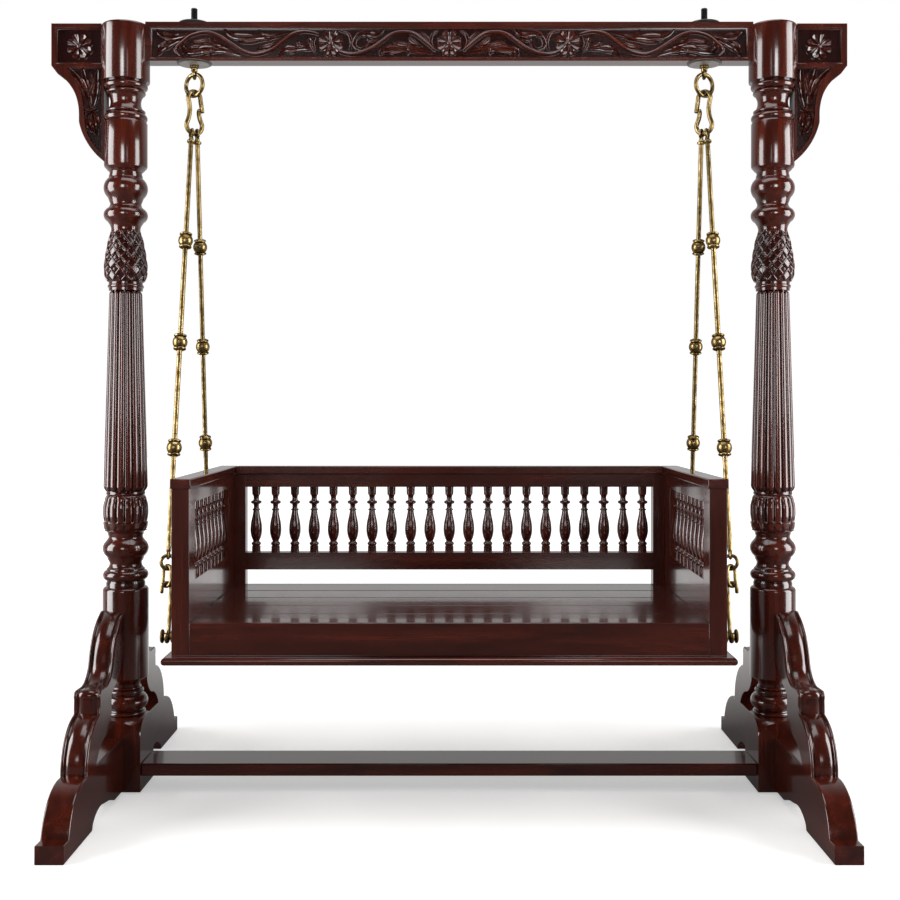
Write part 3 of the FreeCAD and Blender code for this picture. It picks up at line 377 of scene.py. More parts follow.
# Carved hollows are marked, more the deeper they are cut, so the material paints them darker:
# painted shade in the grooves.
painted_shade_marks = post.data.attributes.new("ground", "FLOAT", "POINT")
for vertex in post.data.vertices:
    radius = math.hypot(vertex.co.x, vertex.co.y)
    if radius > 0.01:
        depth = carved_depth(math.atan2(vertex.co.y, vertex.co.x), vertex.co.z)
        painted_shade_marks.data[vertex.index].value = within(depth, 0.0008, 0.0040)
        vertex.co.x, vertex.co.y = (side * (radius - depth) / radius for side in vertex.co.xy)
smooth(post, 40)
corner = math.hypot(FOOT_WIDE, FOOT_DEEP) / 2
rounding = arc((corner, FOOT_HIGH - POMMEL_DROP),
               ((corner + FOOT_WIDE / 2) * 0.53, FOOT_HIGH - POMMEL_DROP * 0.33),
               (FOOT_WIDE / 2, FOOT_HIGH), 14)
pommel = turn_on_lathe("pommel",
                       [(corner, FOOT_LOW), (corner, FOOT_HIGH - POMMEL_DROP)] + rounding, 96)
foot = block("left_post_foot", -FOOT_WIDE / 2, FOOT_WIDE / 2, -FOOT_DEEP / 2, FOOT_DEEP / 2,
             FOOT_LOW, FOOT_HIGH)
soften(combine(foot, pommel, "INTERSECT"), 0.0016, 2)
for made, part in ((post, "turned"), (foot, "foot")):
    made.data.transform(Matrix.Translation((-POST_X, 0, 0)))
    right = mirror_of(made, "right_post_" + part)
    wood = turned_mahogany if made is post else upright_mahogany
    finish_piece(made, wood, "stand", *(["left_post"] if made is post else []))
    finish_piece(right, wood, "stand", *(["right_post"] if made is post else []))

# Legs. Four scroll-sawn mahogany boards stand against the post feet, front and rear, dowelled to
# them. Their outer edge is shaped by hand into a rounded ribbon with a bead along each side.
LEG_X, LEG_THICK, LEG_REACH, LEG_HIGH, LEG_COPE = 0.8948, 0.066, 0.561, 0.480, 0.0603
RIBBON, CROWN, PLAIN = "ribbon", "crown", "plain"
LEG_EDGE = [  # depth and height share, arc middle, and how the edge is shaped up to there
    ((0.094, 1.0), None, PLAIN), ((0.285, 0.7717), (0.205, 0.926), RIBBON),
    ((0.424, 0.6704), (0.33, 0.6984), RIBBON), ((0.474, 0.6704), None, CROWN),
    ((0.499, 0.625), (0.496, 0.6627), RIBBON), ((0.503, 0.5546), None, RIBBON),
    ((0.686, 0.2981), (0.624, 0.4833), RIBBON), ((0.697, 0.2981), None, CROWN),
    ((0.932, 0.0897), (0.847, 0.246), CROWN), ((1.0, 0.0897), None, PLAIN),
    ((1.0, 0.0), None, PLAIN), ((0.618, 0.0), None, PLAIN), ((0.606, 0.0289), None, PLAIN),
    ((0.437, 0.0685), (0.535, 0.0704), PLAIN), ((0.335, 0.0502), None, PLAIN),
    ((0.267, 0.0208), None, PLAIN), ((0.1275, 0.0208), None, PLAIN),
    ((0.1275, 0.3087), None, PLAIN), ((0.556, 0.3087), None, PLAIN),
    ((0.440, 0.4061), (0.508, 0.3704), PLAIN), ((0.319, 0.5103), (0.365, 0.4437), PLAIN),
    ((0.319, 0.6019), None, PLAIN), ((0.223, 0.6588), (0.276, 0.625), PLAIN),
    ((0.107, 0.7977), (0.152, 0.7186), PLAIN), ((0.07, 0.7977), None, PLAIN),
    ((0.07, 1.0), None, PLAIN)]
# How far out the edge stands, in metres, at shares of the thickness from either side face.
EDGE_FORMS = {
    RIBBON: [(0, -0.0034), (0.015, -0.0014), (0.04, -0.0002), (0.07, 0), (0.10, -0.0010),
             (0.13, -0.0040), (0.16, -0.0046), (0.20, -0.0024), (0.27, 0.0003), (0.36, 0.0018),
             (0.5, 0.0024)],
    CROWN: [(0, -0.0034), (0.015, -0.0014), (0.04, -0.0002), (0.07, 0), (0.5, 0.0006)],
    PLAIN: [(0, -0.0014), (0.015, -0.0004), (0.04, 0), (0.5, 0)]}
LEVELS = [share for share, _ in EDGE_FORMS[RIBBON]]
LEVELS += [1 - share for share in reversed(LEVELS[:-1])]


def sawn_outline(edge, across, up, steps=12):
    """Places round a sawn outline, each with the form of its edge."""
    line = []
    last = (edge[-1][0][0] * across, edge[-1][0][1] * up)
    for point, middle, form in edge:
        point = (point[0] * across, point[1] * up)
        run = arc(last, (middle[0] * across, middle[1] * up), point, steps) if middle else [point]
        line += [(place, form) for place in run]
        last = point
    return line


def sawn_board(name, places, thickness, shares=(0.0, 1.0)):
    """A board sawn to an outline, its thickness drawn out of the sawn face step by step."""
    piece = draw_line(name, places)
    bpy.ops.mesh.edge_face_add()
    for low, high in zip(shares, shares[1:]):
        bpy.ops.mesh.extrude_region_move(
            TRANSFORM_OT_translate={"value": Vector(thickness) * (high - low)})
    close_up()
    return piece


def table_value(table, at):
    for (low, first), (high, second) in zip(table, table[1:]):
        if at <= high:
            return first + (second - first) * (at - low) / (high - low)
    return table[-1][1]


def cope(piece, x, radius, low, high):
    """Cut a piece hollow so that it sits against an upright round of this radius."""
    let_go()
    bpy.ops.mesh.primitive_cylinder_add(
        vertices=128, radius=radius, depth=high - low, location=(x, 0, (low + high) / 2))
    return combine(piece, bpy.context.object, "DIFFERENCE")


outline = sawn_outline(LEG_EDGE, LEG_REACH, LEG_HIGH)
leg = sawn_board("left_front_leg_board", [(0, -depth, height) for (depth, height), _ in outline],
                 (LEG_THICK, 0, 0), LEVELS)
outward = {}
for index, ((depth, height), form) in enumerate(outline):
    before, after = outline[index - 1][0], outline[(index + 1) % len(outline)][0]
    way = Vector((after[1] - before[1], before[0] - after[0])).normalized()
    outward[(round(depth, 4), round(height, 4))] = (way, form)
for vertex in leg.data.vertices:
    way, form = outward[(round(-vertex.co.y, 4), round(vertex.co.z, 4))]
    share = vertex.co.x / LEG_THICK
    stand_out = table_value(EDGE_FORMS[form], min(share, 1 - share))
    vertex.co.y += way.x * stand_out
    vertex.co.z -= way.y * stand_out
leg.data.transform(Matrix.Translation((-LEG_X - LEG_THICK / 2, 0, 0)))
smooth(cope(leg, -POST_X, LEG_COPE, 0.1, 0.7), 38)
for name, flip in (("right_front_leg", (-1, 1, 1)), ("left_rear_leg", (1, -1, 1)),
                   ("right_rear_leg", (-1, -1, 1)), ("left_front_leg", None)):
    made = mirror_of(leg, name + "_board", flip) if flip else leg
    finish_piece(made, deep_mahogany, "stand", name)
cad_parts["leg_dowels"].data.materials.clear()
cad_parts["leg_dowels"].data.materials.append(deep_mahogany)


# Stretcher. A plain mahogany plank between the post feet, its tenons let into their mortises.
# Its long edges are eased with a small round and its top shines from being wiped.
def edit(piece):
    """Open a piece in edit mode with all of it selected."""
    hold(piece)
    bpy.ops.object.mode_set(mode="EDIT")
    bpy.ops.mesh.select_all(action="SELECT")


def dressed(node, name, material, body, ease=0.0016, segments=2):
    """A planed piece of joinery: the node's own shape with its edges eased."""
    piece = copy_of(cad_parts[node], name)
    edit(piece)
    bpy.ops.mesh.remove_doubles(threshold=0.00001)
    bpy.ops.mesh.dissolve_limited(angle_limit=math.radians(0.6))
    bpy.ops.object.mode_set(mode="OBJECT")
    soften(piece, ease, segments)
    finish_piece(piece, material, body, node)
    return piece


dressed("stretcher", "stretcher_plank", crosswise_mahogany, "stand", 0.003, 3)

# Beam. One thick mahogany board tenoned into both posts, its front sunk to a field with a
# stepped edge. A vine is carved in the field: a rolling stem, leaves that curl at their tips,
# and eight-petalled rosettes.
BEAM_X, BEAM_Y, BEAM_LOW, BEAM_HIGH, BEAM_COPE = 0.8156, 0.025, 1.952, 2.057, 0.0636
FIELD_X, FIELD_LOW, FIELD_HIGH, FIELD_DEPTH = 0.7975, 1.964, 2.0395, 0.010
SLOPE, SLOPE_DEPTH = 0.0046, 0.0044
ROSETTE, ROSETTE_Z, ROSETTE_SPACING = 0.036, 2.0015, 0.318


def sink_field(board, x0, x1, z0, z1, face_y):
    """Sink a field in a board's front: a sloping border, a narrow step, and a flat ground."""
    middle = ((x0 + x1) / 2, (z0 + z1) / 2)
    for ledge, slope, depth in ((0.0014, SLOPE, SLOPE_DEPTH), (0.0, 0.0, FIELD_DEPTH)):
        cutter = block("sinking", x0 - ledge, x1 + ledge, face_y - 0.001, face_y + depth,
                       z0 - ledge, z1 + ledge)
        for vertex in cutter.data.vertices:
            if vertex.co.y < face_y:
                vertex.co.x += math.copysign(slope, vertex.co.x - middle[0])
                vertex.co.z += math.copysign(slope, vertex.co.z - middle[1])
        combine(board, cutter, "DIFFERENCE")


def paint_shade_on_sunk_ground(board, face_y):
    """Mark the sunk ground of a carved board, which the material paints darker as painted shade.
    """
    painted_shade_marks = board.data.attributes.new("ground", "FLOAT", "FACE")
    for face, mark in zip(board.data.polygons, painted_shade_marks.data):
        deep = face_y + SLOPE_DEPTH + 0.001 < face.center.y < face_y + FIELD_DEPTH + 0.001
        mark.value = 1.0 if deep and (face.normal.y < -0.9 or face.area < 0.003) else 0.0


beam = block("beam_board", -BEAM_X, BEAM_X, -BEAM_Y, BEAM_Y, BEAM_LOW, BEAM_HIGH)
sink_field(beam, -FIELD_X, FIELD_X, FIELD_LOW, FIELD_HIGH, -BEAM_Y)
for side in (-1, 1):
    cope(beam, side * POST_X, BEAM_COPE, 1.8, 2.2)
soften(beam, 0.0008, 2)
# The sunk field is painted darker: painted shade.
paint_shade_on_sunk_ground(beam, -BEAM_Y)
finish_piece(beam, crosswise_mahogany, "stand", "beam")


def smooth_line(points, steps):
    """Places along a smooth curve through a few points."""
    ends = [points[0]] + list(points) + [points[-1]]
    line = []
    for a, b, c, d in zip(ends, ends[1:], ends[2:], ends[3:]):
        for step in range(steps):
            t = step / steps
            line.append(tuple(
                0.5 * (2 * q + (r - p) * t + (2 * p - 5 * q + 4 * r - s) * t * t
                       + (3 * q - p - 3 * r + s) * t ** 3) for p, q, r, s in zip(a, b, c, d)))
    return line + [tuple(points[-1])]


LEAF = [(0, 0.30), (0.2, 0.62), (0.45, 1.0), (0.65, 0.92), (0.82, 0.60), (0.94, 0.26), (1, 0.05)]
STEM = [(0, 0.6), (0.08, 1.0), (0.9, 1.0), (1, 0.5)]
CURL = [(0, 0.35), (0.3, 1.0), (0.7, 1.0), (1, 0.35)]


def join(name, pieces):
    hold(*pieces)
    bpy.ops.object.join()
    return name_piece(pieces[0], name)


def slab(name, along, across):
    """A fine grid one unit thick, to be shaped: X and Y from -1 to 1, Z from 0 to 1."""
    let_go()
    bpy.ops.mesh.primitive_grid_add(x_subdivisions=along, y_subdivisions=across, size=2)
    piece = name_piece(bpy.context.object, name)
    edit(piece)
    bpy.ops.mesh.extrude_region_move(TRANSFORM_OT_translate={"value": (0, 0, 1)})
    close_up()
    return piece


def carved(name, spine, half_width, rise, taper, face_y, steps=5, veins=True):
    """A carved leaf or rib that stands on a sunk field, along a spine of (x, z) in millimetres.
    A broad leaf has lobes along both edges, like an acanthus, and veins that follow its length."""
    line = smooth_line([(x / 1000, z / 1000) for x, z in spine], steps)
    count = len(line)
    lobes = 3 if veins and half_width > 0.0085 else 0
    piece = slab(name, count - 1, 16)
    for vertex in piece.data.vertices:
        at = round((vertex.co.x + 1) / 2 * (count - 1))
        share, across, top = at / (count - 1), vertex.co.y, vertex.co.z > 0.5
        here = Vector(line[at])
        way = (Vector(line[min(at + 1, count - 1)]) - Vector(line[max(at - 1, 0)])).normalized()
        wide = half_width * table_value(taper, share)
        lobe = 0.8
        if lobes and share < 0.97:
            lobe = (share * lobes + (0.25 if across > 0 else 0.0)) % 1
        wide *= 0.66 + 0.34 * min(lobe / 0.8, (1 - lobe) / 0.2)
        lean = way * abs(across) ** 2 * wide * 0.5 if lobes else Vector((0, 0))
        place = here + Vector((-way.y, way.x)) * across * wide + lean
        high = math.sqrt(max(0.0, 1 - across ** 2 * 0.92))
        if veins:
            high = 0.46 + 0.44 * across ** 2 - 0.48 * within(abs(across), 0.88, 1.0)
            high += 0.30 * math.exp(-(across / 0.10) ** 2)
            high += 0.09 * math.cos(across * 4 * math.pi) if lobes else 0
            high += 0.14 * min(lobe / 0.8, (1 - lobe) / 0.2) * across ** 2
            high += 0.45 * within(share, 0.72, 1.0) ** 2
            high *= within(share, -0.25, 0.25)
        vertex.co = (place.x, face_y - (rise * high if top else -0.0006), place.y)
    edit(piece)
    close_up(0.000001)
    return smooth(piece, 50)


def rosette(name, x, z, radius, face_y):
    """A carved flower of eight cupped petals with raised rims, round a turned button."""
    parts = []
    for index in range(8):
        petal = slab("petal", 12, 14)
        middle = math.tau * (index + 0.5) / 8
        for vertex in petal.data.vertices:
            out, across, top = (vertex.co.x + 1) / 2, vertex.co.y, vertex.co.z > 0.5
            angle = middle + across * math.radians(20.2)
            reach = (radius * (0.17 + 0.83 * out)
                     * (1 - (0.10 * across ** 2 + 0.12 * across ** 4) * out))
            edge = 1 - 0.5 * within(max(abs(across), out), 0.91, 1.0)
            high = (0.42 + 0.26 * across ** 2
                    + 0.36 * within(out, 0.62, 0.92) * (1 - 0.3 * across ** 2))
            high = (high - 0.14 * math.exp(-(across / 0.15) ** 2) * out) * edge
            vertex.co = (x + reach * math.cos(angle), face_y - (0.0104 * high if top else -0.0006),
                         z + reach * math.sin(angle))
        edit(petal)
        close_up(0.000001)
        parts.append(petal)
    dome = [(0.0078, 0), (0.0079, 0.0052), (0.0066, 0.0056), (0.0064, 0.0070), (0.0054, 0.0088),
            (0.0034, 0.0101), (0.0012, 0.0106)]
    button = turn_on_lathe("button", dome, 32)
    button.data.transform(
        Matrix.Translation((x, face_y, z)) @ Matrix.Rotation(math.pi / 2, 4, "X"))
    parts.append(button)
    return smooth(join(name, parts), 50)


# Each is: half width, rise, taper, and the spine from root to tip as (x outwards, z), in mm.
VINE = [
    (5.6, 9.5, STEM, [(722, 1966), (737, 1984), (719, 2005), (693, 2024), (655, 2032), (620, 2022),
                      (588, 2002), (550, 1979), (516, 1973), (478, 1985), (449, 2007), (419, 2027),
                      (388, 2034), (350, 2026)]),
    (5.6, 9.5, STEM, [(300, 1982), (277, 1974), (245, 1974), (213, 1986), (183, 2006), (156, 2025),
                      (127, 2032), (95, 2028), (68, 2009), (38, 1982)]),
    (13.0, 7.6, LEAF, [(700, 2027), (735, 2018), (768, 2022), (786, 2036)]),
    (9.2, 7.3, LEAF, [(705, 2019), (744, 2001), (768, 1988), (786, 1969)]),
    (5.6, 6.3, LEAF, [(752, 2012), (772, 1998), (783, 1982)]),
    (9.2, 7.6, LEAF, [(696, 2022), (714, 2004), (717, 1988), (711, 1969)]),
    (15.0, 7.6, LEAF, [(560, 1969), (604, 1982), (647, 1985), (679, 1980), (712, 1974)]),
    (7.6, 6.8, LEAF, [(630, 1990), (660, 1993), (688, 1992), (703, 1984)]),
    (9.2, 7.1, LEAF, [(586, 1985), (612, 1997), (634, 2005), (644, 2021)]),
    (6.4, 7.3, LEAF, [(600, 1979), (622, 1985), (636, 1982), (644, 1968)]),
    (7.6, 6.5, LEAF, [(620, 1996), (652, 2008), (676, 2006), (696, 2004)]),
    (13.0, 7.6, LEAF,
     [(425, 2034), (473, 2021), (526, 2018), (567, 2018), (588, 2024), (605, 2038)]),
    (8.4, 6.8, LEAF, [(478, 2013), (513, 2011), (540, 2007), (564, 2004)]),
    (7.0, 7.3, LEAF, [(446, 2029), (478, 2021), (500, 2022), (512, 2038)]),
    (8.4, 7.1, LEAF, [(444, 2017), (478, 1999), (497, 1993), (518, 1983)]),
    (12.5, 7.3, LEAF, [(356, 1984), (390, 1988), (422, 1986), (444, 1983), (460, 1965)]),
    (8.4, 6.8, LEAF, [(372, 1997), (392, 1993), (404, 1998), (408, 2009)]),
    (6.4, 7.1, LEAF, [(364, 2002), (374, 2006), (377, 2012), (382, 2020)]),
    (2.6, 8.4, CURL, [(357, 2018), (362, 2002), (357, 1982)]),
    (2.6, 7.6, CURL, [(368, 2014), (373, 1994), (360, 1974)]),
    (2.4, 7.6, CURL, [(364, 2014), (368, 1996), (358, 1978)]),
    (3.2, 8.2, CURL, [(298, 2036), (276, 2028), (266, 2006), (270, 1982)]),
    (2.6, 7.6, CURL, [(286, 2037), (268, 2026), (260, 2004), (264, 1982)]),
    (3.4, 8.4, CURL, [(224, 2036), (247, 2026), (260, 2004), (253, 1986), (238, 1980), (224, 1986),
                      (216, 2003)]),
    (2.6, 7.3, CURL, [(228, 2026), (247, 2012), (249, 1994), (236, 1987), (226, 1995)]),
    (10.5, 7.3, LEAF, [(246, 2022), (222, 2026), (196, 2023), (175, 2038)]),
    (7.0, 6.8, LEAF, [(190, 2012), (204, 2006), (217, 2008), (214, 2016)]),
    (5.6, 6.8, LEAF, [(205, 1995), (216, 1999), (224, 1992), (227, 1984)]),
    (14.5, 7.6, LEAF, [(45, 1973), (103, 1984), (143, 1985), (174, 1983), (188, 1971)]),
    (8.4, 6.8, LEAF, [(85, 1988), (120, 1998), (136, 2001), (150, 2006)]),
    (8.4, 7.1, LEAF, [(72, 1992), (92, 2002), (104, 2011), (111, 2023)]),
    (6.4, 7.3, LEAF, [(81, 1978), (99, 1985), (108, 1982), (112, 1969)]),
    (6.4, 7.1, LEAF, [(34, 1984), (54, 2008), (70, 2025), (83, 2038)]),
    (2.6, 8.2, CURL, [(30, 2036), (43, 2022), (46, 2002), (37, 1982)]),
    (2.2, 7.3, CURL, [(36, 2037), (50, 2022), (53, 2002), (43, 1980)])]
field_y = -BEAM_Y + FIELD_DEPTH
sprigs = []
for half_width, rise, taper, spine in VINE:
    steps = 6 if taper is not LEAF else 9
    for side in (-1, 1):
        sprigs.append(carved("sprig", [(side * x, z) for x, z in spine], half_width / 1000,
                             rise / 1000, taper, field_y, steps, veins=taper is LEAF))
vine = join("beam_carved_vine", sprigs)
finish_piece(vine, carved_mahogany, "stand")
for index, name in ((-1, "left"), (0, "middle"), (1, "right")):
    flower = rosette(name + "_beam_rosette", index * ROSETTE_SPACING, ROSETTE_Z, ROSETTE, field_y)
    finish_piece(flower, carved_mahogany, "stand")

# End brackets. One mahogany board outside each post: a square end block over a scroll bracket,
# held by a tenon through the post. The block has a sunk panel with a rosette, the bracket a tied
# sheaf.
BRACKET_IN, BRACKET_OUT, BRACKET_TOP, BRACKET_DROP = 0.919, 1.067, 2.052, 0.375
BRACKET_Y, BLOCK_HIGH, PANEL_EDGE, PANEL_FOOT, END_ROSETTE = 0.026, 0.113, 0.0165, 0.010, 0.0355
# The bracket's hollows against the post: radius, and from and to which height.
COPES = ((BEAM_COPE, 1.8999, 2.2), (0.0587, 1.79, 1.9001), (0.05712, 1.5, 1.7931))
wide = BRACKET_OUT - BRACKET_IN
SCROLL = [((0.0, 0.0), None, PLAIN), ((1.0, 0.0), None, PLAIN), ((1.0, 0.3013), None, PLAIN),
          ((0.885, 0.36), None, PLAIN), ((0.555, 0.517), (0.69, 0.425), PLAIN),
          ((0.50, 0.66), (0.512, 0.587), PLAIN), ((0.50, 0.704), None, PLAIN),
          ((0.0, 1.0), (0.33, 0.865), PLAIN)]
SHEAF_FIELD = [((0.72, 0.325), None, PLAIN), ((0.476, 0.475), (0.585, 0.39), PLAIN),
               ((0.41, 0.65), (0.43, 0.565), PLAIN), ((0.40, 0.70), None, PLAIN),
               ((0.10, 0.92), (0.29, 0.83), PLAIN), ((0.10, 0.325), None, PLAIN)]


def bracket_board(name, edge, y0, thickness, swell=0.0):
    places = [Vector((-BRACKET_IN - reach, y0, BRACKET_TOP - drop))
              for (reach, drop), _ in sawn_outline(edge, wide, BRACKET_DROP, 16)]
    board = sawn_board(name, places, (0, thickness, 0))
    middle = sum(places, Vector()) / len(places)
    for vertex in board.data.vertices:
        if vertex.co.y < y0 + 0.00001:
            vertex.co += (vertex.co - middle).normalized() * swell
    return board


bracket = bracket_board("left_end_bracket_board", SCROLL, -BRACKET_Y, 2 * BRACKET_Y)
panel = (-BRACKET_OUT + PANEL_EDGE, -BRACKET_IN - PANEL_EDGE,
         BRACKET_TOP - BLOCK_HIGH + PANEL_FOOT, BRACKET_TOP - PANEL_EDGE)
sink_field(bracket, *panel, -BRACKET_Y)
for swell, depth in ((SLOPE + 0.002, SLOPE_DEPTH), (0.0, FIELD_DEPTH)):
    sinking = bracket_board("sinking", SHEAF_FIELD, -BRACKET_Y - 0.001, 0.001 + depth, swell)
    combine(bracket, sinking, "DIFFERENCE")
for radius, low, high in COPES:
    cope(bracket, -POST_X, radius, low, high)
soften(bracket, 0.0008, 2)
# The sunk panel and sheaf field are painted darker: painted shade.
paint_shade_on_sunk_ground(bracket, -BRACKET_Y)
# The tied sheaf: half width, rise and spine of each leaf, and the band round its waist.
SHEAF = [
    (14.5, 7.6, LEAF, [(-966, 1826), (-975, 1862), (-993, 1898), (-1024, 1934)]),
    (10.5, 7.9, LEAF, [(-962, 1826), (-968, 1866), (-978, 1900), (-984, 1932)]),
    (8.4, 7.3, LEAF, [(-960, 1826), (-962, 1862), (-958, 1898), (-966, 1928)]),
    (11.0, 7.9, LEAF, [(-958, 1826), (-950, 1862), (-948, 1896), (-944, 1932)]),
    (9.2, 7.3, LEAF, [(-964, 1818), (-972, 1798), (-966, 1776), (-958, 1760)]),
    (9.2, 7.6, LEAF, [(-960, 1818), (-956, 1798), (-952, 1776), (-947, 1752)]),
    (7.0, 7.1, LEAF, [(-956, 1818), (-948, 1804), (-944, 1790), (-943, 1776)]),
    (3.4, 9.5, CURL, [(-977, 1822), (-962, 1820), (-946, 1825)])]
panel_y = -BRACKET_Y + FIELD_DEPTH
sheaf = join("left_bracket_sheaf", [
    carved("sprig", spine, half_width / 1000, rise / 1000, taper, panel_y, 9, veins=taper is LEAF)
    for half_width, rise, taper, spine in SHEAF])
flower = rosette("left_end_rosette", (panel[0] + panel[1]) / 2, (panel[2] + panel[3]) / 2,
                 END_ROSETTE, panel_y)
for made in (bracket, sheaf, flower):
    twin = mirror_of(made, made.name.replace("left", "right"))
    for piece, name in ((made, "left_end_bracket"), (twin, "right_end_bracket")):
        nodes = [name] if made is bracket else []
        wood = upright_mahogany if made is bracket else carved_mahogany
        finish_piece(piece, wood, "stand", *nodes)

# Hanging bolts. A threaded steel stud goes down through the beam between two dished discs,
# with a hexagon nut on top and a cast brass eye screwed on below. The steel is blackened.
HANG_X, STUD, STUD_TOP, THREAD_LOW, THREAD_PITCH = 0.689, 0.0085, 2.100, 2.060, 0.0015
WASHER, PLATE, PLATE_LOW, EYE_Z, EYE, EYE_WIRE = 0.042, 0.047, 1.946, 1.9226, 0.0114, 0.0039
NUT, NUT_TALL, NUT_Z = 0.013, 0.009, 2.0645


def blackened_steel(name, roughness=0.34):
    """Steel blackened in hot oil: nearly black, a soft sheen, greyer where it has been rubbed."""
    material, tree, shader, place = new_material(name)
    patches = add_node(tree, "TexNoise", None, {
        "Vector": place, "Scale": 220.0, "Detail": 4.0, "Roughness": 0.6})
    tones = add_node(tree, "ValToRGB", None, {"Fac": patches})
    set_stops(tones, [(0.35, "#0d0d0e"), (0.7, "#26262a")])
    shape = add_node(tree, "NewGeometry")
    edge = add_node(tree, "MapRange", None, {
        "Value": shape.outputs["Pointiness"], "From Min": 0.52, "From Max": 0.60, "To Max": 0.6})
    rubbed = add_node(tree, "MixRGB", None, {
        "Fac": edge, "Color1": tones, "Color2": linear("#6b6862")})
    sheen = add_node(tree, "MapRange", None, {
        "Value": patches, "To Min": roughness - 0.08, "To Max": roughness + 0.12})
    bump = add_node(tree, "Bump", None, {"Strength": 0.2, "Distance": 0.0003, "Height": patches})
    feed(shader, {"Base Color": rubbed, "Roughness": sheen, "Normal": bump, "Metallic": 0.7})
    return material


def antique_brass(name):
    """Forged brass, aged: brown-gold where handled, dark brown in the hollows,
    with the faint hammer marks of a bar that was drawn and bent by hand."""
    material, tree, shader, place = new_material(name)
    tarnish = add_node(tree, "TexNoise", None, {
        "Vector": place, "Scale": 55.0, "Detail": 5.0, "Roughness": 0.62})
    tones = add_node(tree, "ValToRGB", None, {"Fac": tarnish})
    set_stops(tones, [(0.32, "#5a4828"), (0.50, "#907a4e"), (0.68, "#b8a276")])
    shape = add_node(tree, "NewGeometry")
    hollow = add_node(tree, "MapRange", None, {
        "Value": shape.outputs["Pointiness"], "From Min": 0.42, "From Max": 0.495,
        "To Min": 0.25, "To Max": 1.0})
    aged = add_node(tree, "MixRGB", {"blend_type": "MULTIPLY"}, {
        "Fac": 1.0, "Color1": tones, "Color2": hollow})
    rubbed = add_node(tree, "MapRange", None, {
        "Value": tarnish, "From Min": 0.3, "From Max": 0.7, "To Min": 0.40, "To Max": 0.25})
    # Hammer marks are about 4 mm across.
    dents = add_node(tree, "TexNoise", None, {
        "Vector": place, "Scale": 240.0, "Detail": 2.0})
    bump = add_node(tree, "Bump", None, {"Strength": 0.28, "Distance": 0.0006, "Height": dents})
    feed(shader, {"Base Color": aged, "Roughness": rubbed, "Normal": bump, "Metallic": 1.0,
                  "Specular Tint": linear("#6b5230")})
    return material


def disc_with_painted_reflection(name):
    """The blackened disc under the beam, its dish painted grey as a painted reflection, inside a
    black rim.
    """
    material = blackened_steel(name, 0.30)
    tree = material.node_tree
    shader = tree.nodes["Principled BSDF"]
    place = add_node(tree, "TexCoord").outputs["Object"]
    parts = add_node(tree, "SeparateXYZ", None, {"Vector": place})
    outward = add_node(tree, "Math", {"operation": "ABSOLUTE"}, {0: parts.outputs["X"]})
    off = add_node(tree, "Math", {"operation": "SUBTRACT"}, {0: outward, 1: HANG_X})
    flat = add_node(tree, "CombineXYZ", None, {"X": off, "Y": parts.outputs["Y"]})
    away = add_node(tree, "VectorMath", {"operation": "LENGTH"}, {0: flat})
    rim = add_node(tree, "MapRange", None, {
        "Value": away.outputs["Value"], "From Min": 0.0385, "From Max": 0.0410})
    black = shader.inputs["Base Color"].links[0].from_socket
    # Inside the rim the dish is painted grey: a painted reflection.
    tones = add_node(tree, "MixRGB", None, {
        "Fac": rim, "Color1": linear("#857e7a"), "Color2": black})
    feed(shader, {"Base Color": tones, "Metallic": 0.4})
    return material


stud_steel = blackened_steel("oil_blackened_steel")
disc_steel = blackened_steel("oil_blackened_steel_disc", 0.30)
under_steel = disc_with_painted_reflection("oil_blackened_steel_rubbed_grey")
brass = antique_brass("aged_forged_brass")

thread = [(STUD - 0.0018, PLATE_LOW - 0.010), (STUD - 0.0008, PLATE_LOW)]
for turn in range(26):
    low = THREAD_LOW + turn * THREAD_PITCH
    thread += [(STUD - 0.0007, low), (STUD, low + 0.00055), (STUD, low + 0.0008)]
thread += [(STUD - 0.0008, STUD_TOP - 0.0006), (STUD - 0.0018, STUD_TOP)]
stud = turn_on_lathe("left_threaded_stud", thread, 32)
let_go()
bpy.ops.mesh.primitive_cylinder_add(vertices=6, radius=NUT, depth=NUT_TALL, location=(0, 0, NUT_Z))
nut = name_piece(bpy.context.object, "left_hexagon_nut")
bpy.ops.object.transform_apply(location=True)
crown = turn_on_lathe("crown",
                      [(0.0115, 2.0599), (0.0131, 2.0615), (0.0131, 2.0672), (0.0112, 2.0691)], 48)
soften(combine(nut, crown, "INTERSECT"), 0.0003, 2)
washer = turn_on_lathe("left_top_disc", [
    (WASHER - 0.0004, 2.057), (WASHER, 2.0576), (WASHER - 0.0006, 2.0592),
    (WASHER - 0.006, 2.0599), (0.012, 2.060)], 96)
plate = turn_on_lathe("left_under_disc", [
    (0.014, PLATE_LOW - 0.0002), (PLATE - 0.012, PLATE_LOW + 0.0012),
    (PLATE - 0.002, PLATE_LOW + 0.0036), (PLATE, PLATE_LOW + 0.0050),
    (PLATE - 0.0005, PLATE_LOW + 0.006)], 96)
for made, material in ((stud, stud_steel), (nut, stud_steel), (washer, disc_steel),
                       (plate, under_steel)):
    made.data.transform(Matrix.Translation((-HANG_X, 0, 0)))
    twin = mirror_of(made, made.name.replace("left", "right"))
    node = {"left_threaded_stud": "hanging_studs", "left_hexagon_nut": "stud_nuts",
            "left_top_disc": "beam_top_washers",
            "left_under_disc": "beam_bottom_plates"}[made.name]
    finish_piece(made, material, "stand", node, slot="black_steel")
    finish_piece(twin, material, "stand", slot="black_steel")


